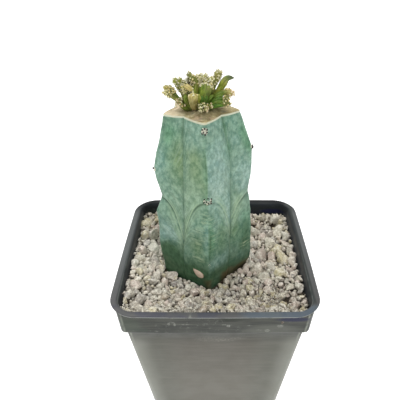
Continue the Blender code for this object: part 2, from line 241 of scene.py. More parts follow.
def rounded_square(half, radius, z, steps=12):
    turns = np.arange(4)[:, None] * math.pi / 2
    angle = turns + np.linspace(0, math.pi / 2, steps + 1)[None]
    reach = (half - radius) * math.sqrt(2)
    x = reach * np.cos(turns + math.pi / 4) + radius * np.cos(angle)
    y = reach * np.sin(turns + math.pi / 4) + radius * np.sin(angle)
    corners = np.stack([x, y], -1)
    run = np.linspace(0, 1, 14)[1:-1, None]
    parts = []
    for corner, after in zip(corners, np.roll(corners, -1, axis=0)):
        parts += [corner, corner[-1] + (after[0] - corner[-1]) * run]
    flat = np.concatenate(parts)
    return np.column_stack([flat, np.full(len(flat), z)])


def square_reach(x, y, half, radius):
    """Distance inside the edge of a rounded square, below zero outside it."""
    dx = np.abs(x) - (half - radius)
    dy = np.abs(y) - (half - radius)
    return radius - np.hypot(np.maximum(dx, 0), np.maximum(dy, 0)) - np.minimum(np.maximum(dx, dy), 0)


def sphere_mesh(level):
    body = bmesh.new()
    bmesh.ops.create_icosphere(body, subdivisions=level, radius=1.0)
    body.verts.ensure_lookup_table()
    points = np.array([vert.co[:] for vert in body.verts])
    faces = np.array([[vert.index for vert in face.verts] for face in body.faces])
    body.free()
    return points, faces


SPHERES = {level: sphere_mesh(level) for level in (1, 2, 3, 4)}


class Batch:
    """Collects small shapes that become one mesh."""

    def __init__(self, *labels):
        self.points, self.quads, self.triangles = [], [], []
        self.values = {label: [] for label in labels}
        self.count = self.faces = 0

    def add(self, points, quads=None, triangles=None, **values):
        if quads is not None:
            self.quads.append(quads + self.count)
        self.triangles.append(triangles + self.count)
        self.faces += len(triangles)
        self.points.append(points)
        for label in self.values:
            self.values[label].append(np.broadcast_to(np.asarray(values[label], float), len(points)))
        self.count += len(points)

    def piece(self, name, material, slot):
        groups = [np.concatenate(group) for group in (self.quads, self.triangles) if group]
        values = {label: np.concatenate(numbers) for label, numbers in self.values.items()}
        return mesh_piece(name, np.concatenate(self.points), groups, values, material)


def frames_along(path):
    """Directions across a path that turn with it without twisting."""
    axis = np.gradient(path, axis=0)
    axis /= np.linalg.norm(axis, axis=1)[:, None]
    side = np.cross(axis[0], [0.31, 0.52, 0.8])
    sides = []
    for a in axis:
        side = side - a * np.dot(side, a)
        side = side / np.linalg.norm(side)
        sides.append(side)
    sides = np.array(sides)
    return axis, sides, np.cross(axis, sides)


def tube(path, radii, sides):
    """Points, quads and end triangles of a round tube along a path."""
    _, across, other = frames_along(path)
    angle = np.arange(sides) * TAU / sides
    ring = across[:, None] * np.cos(angle)[None, :, None] + other[:, None] * np.sin(angle)[None, :, None]
    return closed_loft(path[:, None] + ring * np.asarray(radii)[:, None, None], path[0], path[-1])


def bezier(a, b, c, count):
    t = np.linspace(0, 1, count)[:, None]
    return a * (1 - t) ** 2 + b * 2 * t * (1 - t) + c * t ** 2


def add_spine(batch, root, aim, hold, lean, length, girths, sides, tone, start=0.0, end=1.0):
    """A spine that leaves root along aim, held straight for a share of its length, and bends toward lean."""
    path = bezier(root, root + aim * length * hold, root + unit(aim + lean) * length, len(girths))
    points, quads, ends = tube(path, girths, sides)
    tip = np.append(np.repeat(np.linspace(start, 1, len(girths)), sides), [0, 1]) * end
    batch.add(points, quads, ends, tone=tone, tip=tip)


def curve_through(points, count):
    """A smooth path through points, with its own points evenly spread."""
    p = np.concatenate([2 * points[:1] - points[1:2], points, 2 * points[-1:] - points[-2:-1]])
    t = np.linspace(0, 1, 24)[:, None]
    spans = []
    for a, b, c, d in zip(p, p[1:], p[2:], p[3:]):
        bend, twist = 2 * a - 5 * b + 4 * c - d, 3 * b - a - 3 * c + d
        spans.append(0.5 * (2 * b + (c - a) * t + bend * t ** 2 + twist * t ** 3))
    path = np.concatenate(spans)
    travelled = np.concatenate([[0], np.cumsum(np.linalg.norm(np.diff(path, axis=0), axis=1))])
    at = np.linspace(0, travelled[-1], count)
    return np.column_stack([np.interp(at, travelled, path[:, k]) for k in range(3)])


# Node materials
def srgb(r, g, b):
    """Linear colour from display values of 0 to 255."""
    return tuple(((c / 255 + 0.055) / 1.055) ** 2.4 if c > 10 else c / 255 / 12.92 for c in (r, g, b))


class Shader:
    """A Principled material, or a world, and short calls for its nodes. Colours are display values."""

    def __init__(self, name, kind="materials"):
        self.owner = getattr(bpy.data, kind).new(name)
        self.owner.use_nodes = True
        self.tree = self.owner.node_tree

    def feed(self, made, inputs):
        """Links or sets the inputs of a node."""
        for key, value in inputs.items():
            if hasattr(value, "is_output"):
                self.tree.links.new(value, made.inputs[key])
            else:
                made.inputs[key].default_value = value

    def finished(self, **sockets):
        """The material with the shader's sockets set."""
        principled = self.tree.nodes["Principled BSDF"]
        self.feed(principled, {key.replace("_", " "): value for key, value in sockets.items()})
        return self.owner

    def node(self, kind, inputs=None, output=0, **settings):
        made = self.tree.nodes.new(kind)
        for key, value in settings.items():
            setattr(made, key, value)
        self.feed(made, inputs or {})
        return made.outputs[output]

    def place(self, scale=(1, 1, 1), shift=(0, 0, 0)):
        spot = self.node("ShaderNodeTexCoord", output="Object")
        return self.node("ShaderNodeMapping", {"Vector": spot, "Location": shift, "Scale": scale})

    def axes(self):
        """X, Y and Z in millimetres."""
        spot = self.place((1000, 1000, 1000))
        return [self.node("ShaderNodeSeparateXYZ", {0: spot}, axis) for axis in "XYZ"]

    def vector(self, *parts):
        return self.node("ShaderNodeCombineXYZ", dict(enumerate(parts)))

    def noise(self, size, detail=3.0, rough=0.55, vector=None):
        """Noise whose features are about size millimetres across, or one unit of a given vector over size."""
        scale = 1000.0 / size if vector is None else 1.0 / size
        inputs = {"Scale": scale, "Detail": detail, "Roughness": rough}
        inputs["Vector"] = self.place() if vector is None else vector
        return self.node("ShaderNodeTexNoise", inputs)

    def patchy(self, size, detail, low, high, least=0.0, most=1.0, rough=0.55):
        """Noise made into patches, least below low and most above high."""
        return self.band(self.noise(size, detail, rough), low, high, least, most)

    def cells(self, size, feature="F1"):
        inputs = {"Vector": self.place(), "Scale": 1000.0 / size}
        return self.node("ShaderNodeTexVoronoi", inputs, "Distance", feature=feature)

    def value(self, label):
        return self.node("ShaderNodeAttribute", output="Fac", attribute_name=label)

    def near(self, x, z, wide, tall, inner=0.4):
        """1 at a place seen from the front, in millimetres, falling to 0 at wide and tall from it."""
        scaled = self.place((1000 / wide, 0, 1000 / tall), (-x / wide, 0, -z / tall))
        away = self.node("ShaderNodeVectorMath", {0: scaled}, "Value", operation="LENGTH")
        return self.band(away, 1.0, inner)

    def math(self, operation, a, b=0.0):
        return self.node("ShaderNodeMath", {0: a, 1: b}, operation=operation)

    def times(self, *factors):
        total = factors[0]
        for factor in factors[1:]:
            total = self.math("MULTIPLY", total, factor)
        return total

    def band(self, factor, low, high, out_low=0.0, out_high=1.0):
        """Maps low..high smoothly onto out_low..out_high and holds the ends."""
        inputs = {"Value": factor, "From Min": low, "From Max": high, "To Min": out_low, "To Max": out_high}
        return self.node("ShaderNodeMapRange", inputs, interpolation_type="SMOOTHSTEP")

    def ramp(self, factor, stops):
        made = self.tree.nodes.new("ShaderNodeValToRGB")
        while len(made.color_ramp.elements) < len(stops):
            made.color_ramp.elements.new(0.5)
        for element, (at, color) in zip(made.color_ramp.elements, stops):
            element.position = at
            element.color = (*srgb(*color), 1.0)
        self.tree.links.new(factor, made.inputs[0])
        return made.outputs[0]

    def mix(self, factor, a, b):
        a, b = ((*srgb(*color), 1.0) if isinstance(color, tuple) else color for color in (a, b))
        return self.node("ShaderNodeMix", {0: factor, 6: a, 7: b}, 2, data_type="RGBA")

    def layers(self, color, *rows):
        """Each row's colour laid over the last, as much as the product of the row's factors says."""
        for top, *factors in rows:
            color = self.mix(self.times(*factors), color, top)
        return color

    def bump(self, height, distance, strength=1.0, under=None):
        inputs = {"Height": height, "Distance": distance * MM, "Strength": strength}
        if under is not None:
            inputs["Normal"] = under
        return self.node("ShaderNodeBump", inputs)


# Marks on the pot's front: place across and up, half width, half height and strength
COLLAR_MARKS = (
    (4.4, 73.0, 0.9, 0.9, 0.8), (3.0, 73.6, 1.2, 0.4, 0.5), (17.4, 70.4, 1.3, 1.0, 0.6),
    (15.0, 70.7, 1.6, 0.5, 0.3), (21.6, 72.7, 1.4, 1.0, 0.5), (-9.9, 73.7, 5.0, 0.3, 0.4),
    (-8.0, 79.7, 0.9, 0.4, 0.9), (-15.3, 73.8, 0.6, 1.2, 0.5), (-13.3, 73.6, 0.6, 1.0, 0.5),
    (-14.3, 74.7, 1.3, 0.45, 0.5), (11.5, 73.1, 1.2, 0.4, 0.3),
)
BODY_MARKS = ((2.9, 63.3, 4.6, 0.9, 0.5), (-0.5, 63.8, 9.0, 2.2, 0.32), (8.0, 64.5, 4.0, 0.7, 0.35))


def pot_material():
    """Dusty grey plastic: a dark collar, a paler body, a slate lip, a dark inside wall, and scuffs, with
    painted highlights, painted bounce light and painted shade.
    """
    s = Shader("pot_plastic")
    x, y, z = s.axes()
    x_size, y_size = s.math("ABSOLUTE", x), s.math("ABSOLUTE", y)
    corner = s.math("DIVIDE", s.math("MINIMUM", x_size, y_size), s.math("MAXIMUM", x_size, y_size))
    lip = s.band(z, 79.0, 79.2)
    front = s.band(y, -29.0, -31.0)
    smear = s.noise(1.0, 4, 0.6, vector=s.place((90, 90, 900)))
    # Painted highlight: a broken pale line where the collar's corners start to round
    ridge_highlight = s.times(s.band(corner, 0.925, 0.945), s.band(corner, 0.968, 0.95))
    dark = s.layers(
        s.mix(s.band(smear, 0.35, 0.65), (42, 45, 40), (62, 64, 57)),
        # Painted shade on the collar just under the lip
        ((36, 40, 32), s.band(z, 76.6, 79.0, 0.0, 0.55)),
        ((40, 46, 38), s.band(corner, 0.93, 0.975, 0.0, 0.5)),
        ((136, 140, 128), ridge_highlight, s.patchy(2.0, 4, 0.3, 0.6, 0.2, 0.7)),
    )
    pale = s.layers(
        # Painted bounce light from the floor: the body grows paler toward its foot
        s.mix(s.band(z, 66.0, 30.0), (82, 79, 71), (98, 96, 87)),
        ((78, 84, 74), s.band(corner, 0.3, 0.75, 0.0, 0.4)),
        # Painted reflection: the body paler toward its rounded corners
        ((141, 143, 134), s.band(corner, 0.7, 1.0, 0.0, 0.62)),
        ((112, 110, 100), s.band(smear, 0.4, 0.7, 0.0, 0.18)),
    )
    inner_edge = s.times(s.band(x, 33.7, 33.3), s.band(x, 30.5, 32.0))
    # Painted highlight: a broken pale line along the lip's outer side, strongest at the front
    lip_edge_highlight = s.times(s.band(z, 79.78, 79.66), s.patchy(5.0, 2, 0.34, 0.5, 0.3, 1.0))
    slate = s.layers(
        # Painted shade: the lip's colour changes from front to back and goes near black at the back
        s.mix(s.band(y, 2.0, -34.0), (94, 97, 97), (82, 82, 82)),
        ((6, 11, 13), s.band(y, 22.0, 33.0)),
        ((60, 58, 56), s.band(x, 28.0, 33.0, 0.0, 0.22)),
        ((58, 60, 78), front, s.patchy(9.0, 2, 0.46, 0.6, 0.0, 0.5)),
        ((92, 108, 118), front, s.band(x, 6.0, 12.0, 0.0, 0.45)),
        ((56, 60, 58), inner_edge, s.band(y, -31.0, -28.0)),
        ((146, 150, 145), lip_edge_highlight, s.band(y, 10.0, -25.0)),
    )
    flank = s.band(s.math("SUBTRACT", x_size, y_size), -4.0, 6.0)
    back_wall = s.mix(s.noise(9, 3), (20, 26, 31), (36, 42, 46))
    # Painted shade: the side walls inside the pot darken from the lip down toward the gravel
    wall = s.mix(flank, back_wall, s.mix(s.band(z, 75.0, 79.0), (22, 27, 30), (34, 40, 42)))
    scuff = s.times(s.patchy(1.7, 6, 0.54, 0.7, 0.0, 0.35, rough=0.75), s.band(lip, 0.0, 1.0, 1.0, 0.3))
    worn = s.times(s.band(z, 63.0, 69.0, 0.04, 1.0), s.patchy(9.0, 2, 0.44, 0.58))
    haze = s.times(s.near(19.0, 70.6, 13.0, 3.6), s.band(lip, 0.6, 0.4, 0.0, 0.55))
    color = s.layers(
        s.mix(s.band(z, 60.0, 69.5, 1.0, 0.0), dark, pale),
        (slate, lip),
        (wall, s.value("inside")),
        ((138, 140, 132), scuff, worn),
        ((92, 94, 86), haze, front),
        ((10, 17, 52), s.near(26.0, 76.0, 7.5, 1.5), s.band(lip, 1.0, 0.0, 0.0, 0.95)),
        ((32, 38, 26), s.near(5.5, 76.2, 5.0, 1.2), s.band(lip, 1.0, 0.0, 0.0, 0.6)),
        ((66, 78, 62), s.near(-29.0, 73.0, 6.0, 5.0), s.band(lip, 1.0, 0.0, 0.0, 0.4)),
        ((46, 58, 46), s.near(-24.5, 70.6, 3.2, 1.4), 0.5),
    )
    for top, marks in (((150, 152, 143), COLLAR_MARKS), ((124, 122, 112), BODY_MARKS)):
        for at, high, wide, tall, strength in marks:
            broken = s.patchy(0.7, 5, 0.42, 0.62, 0.15 * strength, strength, rough=0.7)
            color = s.layers(color, (top, s.near(at, high, wide, tall), broken, front))
    scratch = s.noise(0.35, 2, vector=s.place((140, 140, 2400)))
    return s.finished(
        Base_Color=color, Roughness=s.patchy(7.0, 4, 0.3, 0.7, 0.38, 0.55), Specular_IOR_Level=0.25,
        Sheen_Weight=0.1, Sheen_Roughness=0.4,
        Normal=s.bump(scratch, 0.02, 0.25, s.bump(s.noise(0.5, 4), 0.02, 0.5)),
    )


def stone_material():
    """Dry pumice: a colour for each stone, with pale dust, brown stains and pores, painted shade in the gaps
    and painted light on the stones at the left.
    """
    s = Shader("pumice")
    x, y, _ = s.axes()
    color = s.ramp(s.value("tone"), (
        (0.0, (188, 181, 162)), (0.15, (202, 196, 178)), (0.3, (196, 178, 166)), (0.42, (172, 165, 152)),
        (0.55, (212, 208, 193)), (0.7, (184, 180, 171)), (0.75, (200, 190, 152)), (0.8, (196, 186, 150)),
        (0.85, (168, 152, 134)), (0.93, (148, 144, 140)), (1.0, (122, 110, 104)),
    ))
    color = s.layers(
        color,
        ((246, 241, 227), s.patchy(1.3, 5, 0.4, 0.64, 0.0, 0.75, rough=0.7)),
        ((136, 120, 100), s.patchy(0.6, 5, 0.5, 0.66, 0.0, 0.42, rough=0.75)),
        ((78, 66, 56), s.band(s.cells(0.6), 0.06, 0.26, 0.8, 0.0), s.patchy(1.5, 2, 0.44, 0.6)),
        ((116, 102, 86), s.band(y, -6.0, -20.0, 0.0, 0.75), s.patchy(0.9, 5, 0.46, 0.62, rough=0.7)),
        # Painted light: the stones toward the left, short of the back, lightened toward white
        ((246, 241, 227), s.band(x, -12.0, -26.0, 0.0, 0.16), s.band(y, 16.0, 6.0)),
        ((132, 118, 84), s.band(y, 12.0, 24.0, 0.0, 0.16)),
        # Painted shade in the gaps between stones, by the value deep
        ((64, 54, 42), s.value("deep")),
    )
    grain = s.bump(s.noise(0.5, 6, 0.75), 0.3, 1.0)
    return s.finished(Base_Color=color, Roughness=0.93, Normal=s.bump(s.cells(0.6), 0.16, 0.8, grain))


def bed_material():
    s = Shader("substrate")
    earth = ((0.3, (44, 36, 30)), (0.5, (80, 68, 56)), (0.7, (126, 112, 94)))
    return s.finished(
        Base_Color=s.ramp(s.noise(0.9, 5, 0.7), earth), Roughness=0.95,
        Normal=s.bump(s.noise(0.8, 6, 0.7), 0.5, 1.0),
    )


def stem_material():
    """Waxy blue-green skin. Bloom and dark zones are numbers on the mesh, and streaks follow the ribs. The
    bloom on the front rib's right flank is partly painted reflection, by that crest it is a painted highlight,
    and the valleys carry painted shade.
    """
    s = Shader("stem_skin")
    share, rise, face, arc = s.value("share"), s.value("rise"), s.value("face"), s.value("arc")
    spread = s.band(s.noise(1.5, 4, 0.62, vector=s.place((1000, 1000, 760))), 0.32, 0.68)
    color = s.mix(spread, (80, 114, 90), (120, 151, 126))
    for label, amount, low, high in (
        ("blue", 1.0, (90, 130, 120), (144, 174, 160)), ("olive", 0.85, (80, 110, 64), (118, 140, 92)),
        ("sat", 0.7, (58, 108, 72), (98, 150, 112)), ("pale", 0.6, (122, 150, 116), (156, 178, 148)),
        ("lilac", 0.7, (128, 157, 148), (162, 187, 178)), ("dark", 0.9, (38, 72, 42), (62, 98, 64)),
    ):
        color = s.layers(color, (s.mix(spread, low, high), s.value(label), amount))
    rows = s.noise(0.95, 4, 0.6, vector=s.vector(s.times(share, 1.6), s.value("level"), face))
    fibres = s.noise(0.7, 3, vector=s.vector(arc, s.times(rise, 0.05), face))
    scratches = s.noise(0.62, 3, 0.6, vector=s.vector(s.times(arc, 0.16), rise, face))
    low = s.math("SUBTRACT", rise, s.times(s.noise(2.6, 4, 0.65), 3.6))
    earth = s.mix(s.noise(0.8, 4), (70, 56, 38), (126, 96, 60))
    color = s.layers(
        color,
        ((150, 174, 146), s.band(rows, 0.52, 0.68), s.value("rows"), 0.55),
        ((62, 94, 66), s.band(rows, 0.48, 0.34), s.value("rows"), 0.4),
        ((144, 168, 150), s.band(fibres, 0.5, 0.68), s.value("fibres"), 0.6),
        ((60, 94, 70), s.band(fibres, 0.46, 0.32), s.value("fibres"), 0.5),
        ((66, 98, 72), s.band(s.cells(1.7, "DISTANCE_TO_EDGE"), 0.0, 0.16, 0.22, 0.0)),
        ((170, 186, 152), s.band(scratches, 0.5, 0.62), s.value("scrape"), 0.85),
        ((58, 88, 60), s.band(scratches, 0.46, 0.36), s.value("scrape"), 0.5),
        ((160, 184, 150), s.value("bands"), 0.75),
        ((48, 74, 48), s.value("line"), 0.75),
        # Painted shade along the valleys between the ribs
        ((58, 90, 62), s.value("seam"), 0.6),
        ((200, 194, 168), s.band(rise, 58.6, 59.2), s.band(face, 38.0, 40.0)),
        (earth, s.band(low, -0.2, -2.6), s.value("brown")),
    )
    return s.finished(
        Base_Color=color, Roughness=s.patchy(3.0, 3, 0.3, 0.7, 0.45, 0.62), Specular_IOR_Level=0.35,
        Subsurface_Weight=0.06, Subsurface_Radius=(0.6, 1.0, 0.5), Subsurface_Scale=0.001,
        Normal=s.bump(s.noise(1.6, 4), 0.1, 0.5, s.bump(s.noise(0.4, 4), 0.03, 0.6)),
    )


def callus_material():
    """Dry tan callus with pinkish, pale and grey patches, inside a pale edge of skin."""
    s = Shader("callus")
    x, _, z = s.axes()
    tan = ((0.3, (116, 104, 70)), (0.44, (158, 144, 104)), (0.58, (188, 176, 136)), (0.72, (214, 206, 172)))
    grey = s.band(s.noise(5.5, 2, vector=s.place((1000, 1400, 1000))), 0.6, 0.68, 0.0, 0.5)
    color = s.layers(
        s.ramp(s.noise(2.0, 5, 0.65), tan),
        ((212, 184, 156), s.patchy(4.5, 2, 0.54, 0.66, 0.0, 0.5)),
        ((228, 212, 184), s.band(x, -9.0, -12.5, 0.0, 0.6)),
        ((128, 128, 112), grey),
        ((192, 196, 174), s.band(s.value("edge"), 0.978, 0.995), s.patchy(2.2, 3, 0.3, 0.55, 0.6, 1.0)),
        ((122, 148, 124), s.band(z, 134.8, 134.3)),
    )
    return s.finished(Base_Color=color, Roughness=0.85, Normal=s.bump(s.noise(0.7, 5), 0.12, 0.7))


def wool_material():
    s = Shader("wool")
    color = s.ramp(s.value("tone"), (
        (0.0, (214, 214, 198)), (0.25, (234, 231, 196)), (0.45, (212, 200, 134)), (0.6, (206, 186, 112)),
        (0.72, (216, 196, 166)), (0.85, (206, 166, 118)), (1.0, (190, 178, 158)),
    ))
    color = s.layers(color, ((132, 120, 70), s.patchy(0.5, 3, 0.52, 0.7, 0.0, 0.4)))
    return s.finished(Base_Color=color, Roughness=0.95, Normal=s.bump(s.noise(0.25, 3), 0.1, 0.9))


def spine_material():
    s = Shader("spines")
    tone, tip = s.value("tone"), s.value("tip")
    pale = s.mix(s.band(tip, 0.4, 1.0), (228, 224, 188), (198, 188, 132))
    dark = s.mix(s.band(tip, 0.2, 0.8), (112, 96, 66), (34, 28, 24))
    return s.finished(Base_Color=s.mix(s.band(tone, 0.35, 0.6), pale, dark), Roughness=0.55)


def tubercle_material():
    """Streaked green skin with painted shade at its root among the other tubercles, and dry tan skin where the
    mesh says so, also with painted shade toward its root.
    """
    s = Shader("tubercle_skin")
    t, bright = s.value("tip"), s.value("bright")
    streak = s.noise(0.6, 4, 0.6, vector=s.vector(s.value("angle"), s.times(t, 2.5)))
    deep = s.mix(bright, (46, 80, 16), (112, 124, 26))
    light = s.mix(bright, (88, 120, 34), (188, 192, 80))
    stain = s.mix(bright, (84, 96, 44), (140, 126, 58))
    green = s.layers(
        s.mix(s.band(streak, 0.36, 0.64), deep, light),
        (stain, s.patchy(1.2, 3, 0.48, 0.68, 0.0, 0.6)),
        ((92, 96, 46), s.band(t, 0.45, 0.8), s.value("crowned")),
        # Painted shade at the root, deep among the other tubercles
        ((60, 66, 24), s.band(t, 0.0, 0.68, 0.85, 0.0)),
    )
    dry = s.layers(
        s.mix(s.band(streak, 0.32, 0.68), (142, 122, 66), (198, 184, 120)),
        ((224, 206, 162), s.patchy(0.9, 3, 0.52, 0.72, 0.0, 0.45)),
        # Painted shade toward the root of the dry skin
        ((88, 78, 36), s.band(t, 0.95, 0.55, 0.0, 0.68)),
    )
    color = s.layers(green, (dry, s.value("tan")), ((96, 80, 82), s.value("dusk")))
    return s.finished(
        Base_Color=color, Roughness=0.55, Specular_IOR_Level=0.25,
        Subsurface_Weight=0.08, Subsurface_Radius=(0.7, 1.0, 0.3), Subsurface_Scale=0.0008,
        Normal=s.bump(s.noise(0.5, 4), 0.08, 0.9),
    )


def cork_material():
    s = Shader("cork")
    cork = s.mix(s.noise(0.9, 4), (190, 166, 146), (220, 200, 180))
    return s.finished(
        Base_Color=s.mix(s.band(s.value("middle"), 0.25, 0.6), (132, 118, 92), cork), Roughness=0.8,
        Normal=s.bump(s.noise(0.5, 4), 0.08, 0.7),
    )


# Pot
def make_pot():
    low, body, foot, collar = FOOT_HALF, BODY_HALF, COLLAR_FOOT_HALF - 0.1, COLLAR_HALF
    under, foot_z, top = POT_HEIGHT - 0.62, COLLAR_FOOT_Z + 0.7, POT_HEIGHT
    profile = [
        (low - 0.75, 3.0, 0.0), (low - 0.3, 3.05, 0.1), (low - 0.08, 3.15, 0.35), (low, 3.2, 0.7),
        *[(low + (body - low) * t, 3.2 - 1.2 * t, 0.7 + 67.6 * t) for t in np.linspace(0.04, 1, 16)],
        (body + 0.25, 2.0, foot_z - 0.72), (foot - 0.3, 2.0, foot_z - 0.4), (foot - 0.06, 2.0, foot_z - 0.2),
        (foot, 2.0, foot_z + 0.1),
        *[(foot + (collar - foot) * t, 2.0 + 0.6 * t, foot_z + 0.1 + 9.5 * t) for t in np.linspace(0.08, 1, 6)],
        (collar + 0.1, 3.4, under - 0.04), (LIP_HALF - 0.35, 9.0, under), (LIP_HALF - 0.08, 9.15, under + 0.08),
        (LIP_HALF, 9.2, under + 0.24), (LIP_HALF - 0.05, 9.15, under + 0.4),
        (LIP_HALF - 0.2, 9.0, under + 0.54), (LIP_HALF - 0.5, 8.8, top), (33.1, 6.5, top - 0.02),
        (32.7, 6.1, top - 0.2), (32.3, 5.4, top - 0.6), (32.0, 4.6, top - 1.3), (31.85, 3.7, top - 2.4),
        (COLLAR_FOOT_HALF - WALL, 3.2, foot_z), (body - WALL, 2.4, COLLAR_FOOT_Z - 0.8),
        (low - WALL + 0.15, 2.4, FLOOR + 0.7), (low - WALL - 0.3, 2.2, FLOOR),
    ]
    rings = np.array([rounded_square(*ring) for ring in profile])
    x, y, z = np.moveaxis(rings, -1, 0)
    half = np.array([ring[0] for ring in profile])[:, None]
    bow = 0.32 * ease(20, 72, z) * (1 - (np.minimum(np.abs(x), np.abs(y)) / half) ** 2)
    bow = bow + 0.12 * noise(rings * [1, 1, 0.4], 24.0, 5) * ease(10, 60, z)
    sideways = np.abs(x) > np.abs(y)
    rings[..., 0] += np.sign(x) * bow * sideways
    rings[..., 1] += np.sign(y) * bow * ~sideways
    inside = np.zeros(len(profile))
    inside[-6:] = 1
    inside[-8:-6] = 0.4, 0.9
    points, *faces = closed_loft(rings, [0, 0, 0.0], [0, 0, FLOOR])
    values = {"inside": np.append(np.repeat(inside, rings.shape[1]), [0, 1])}
    pot = mesh_piece("nursery_pot", points, faces, values, pot_material())
    drill = bmesh.new()
    size = {"segments": 40, "radius1": DRAIN_RADIUS * MM, "radius2": DRAIN_RADIUS * MM, "depth": 8 * MM}
    for x in (-DRAIN_AT, DRAIN_AT):
        for y in (-DRAIN_AT, DRAIN_AT):
            made = bmesh.ops.create_cone(drill, cap_ends=True, **size)
            bmesh.ops.translate(drill, verts=made["verts"], vec=Vector((x, y, 0)) * MM)
    cutter = stand_body("drill", drill)
    cut = pot.modifiers.new("drains", "BOOLEAN")
    cut.operation = "DIFFERENCE"
    cut.solver = "EXACT"
    cut.object = cutter
    with bpy.context.temp_override(object=pot, active_object=pot):
        bpy.ops.object.modifier_apply(modifier=cut.name)
    bpy.data.objects.remove(cutter)
    with bpy.context.temp_override(object=pot, active_object=pot, selected_editable_objects=[pot]):
        bpy.ops.object.shade_smooth_by_angle(angle=math.radians(40))
    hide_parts("pot")


# Rootstock
def stem_rows(levels):
    """Plan points around the ribs for each level, with heights, shares from crest to valley and faces."""
    levels = np.asarray(levels, float)
    dip = ((-19, 0), (0, 0), (LINE_CREST, -LINE_DROP), (STEM_TOP, 0), (STEM_TOP + 5, 0))
    shift = smooth(dip, levels, 1.2) * ease(-1, 4, levels) * (1 - ease(57.5, 60, levels))
    valley_r = smooth(VALLEY, levels + shift, 1.5)[:, None]
    turns = [turn_at(knots, levels) for knots in VALLEYS]
    valleys = [valley_r * np.stack([np.cos(turn), np.sin(turn)], 1) for turn in turns]
    run = 1 - (1 - np.linspace(0, 1, RUN_STEPS + 1)[1:]) ** 1.35
    plans, heights, shares, faces = [], [], [], []
    for rib in range(len(RIBS)):
        reach = smooth(CRESTS[rib], levels, CREST_BLUR) + 0.38
        azimuth = turn_at(RIBS[rib], levels)
        crest = reach[:, None] * np.stack([np.cos(azimuth), np.sin(azimuth)], 1)
        for turn in (-1, 1):
            valley = valleys[rib if turn == 1 else rib - 1]
            mirror = valleys[rib - 1 if turn == 1 else rib]
            side, back = valley - crest, mirror - crest
            length = np.linalg.norm(side, axis=1, keepdims=True)
            near = crest + side / length * FILLET
            far = crest + back / np.linalg.norm(back, axis=1, keepdims=True) * FILLET
            plan, share = [], []
            for k in np.linspace(0.5, 1.0, HALF_STEPS):
                plan.append(far * (1 - k) ** 2 + crest * 2 * k * (1 - k) + near * k ** 2)
                share.append((k - 0.5) * 2 * FILLET / length[:, 0])
            for k in run:
                at = FILLET / length + (1 - FILLET / length) * k
                plan.append(crest + side * at)
                share.append(at[:, 0])
            plan, share = np.stack(plan, 1), np.stack(share, 1)
            normal = np.stack([side[:, 1], -side[:, 0]], 1) / length
            normal *= np.sign(np.sum(normal * crest, axis=1))[:, None]
            swell = 0.3 * np.sin(np.pi * np.clip(share * 1.1, 0, 1)) * ease(0, 6, levels)[:, None]
            crease = -0.26 * gauss((1 - share) * length, 0, 0.34) * (1 - 0.6 * gauss(levels, 46, 8))[:, None]
            plan = plan + normal[:, None] * (swell + crease)[..., None]
            height = levels[:, None] + shift[:, None] * (0.3 * share + 0.25 * share ** 2 + 0.45 * share ** 5)
            if turn == -1:
                plan, share, height = plan[:, -2:0:-1], share[:, -2:0:-1], height[:, -2:0:-1]
            plans.append(plan)
            heights.append(height)
            shares.append(share)
            faces.append(np.full(share.shape, rib * 2.0 + (turn > 0)))
    return [np.concatenate(kind, 1) for kind in (plans, heights, shares, faces)]


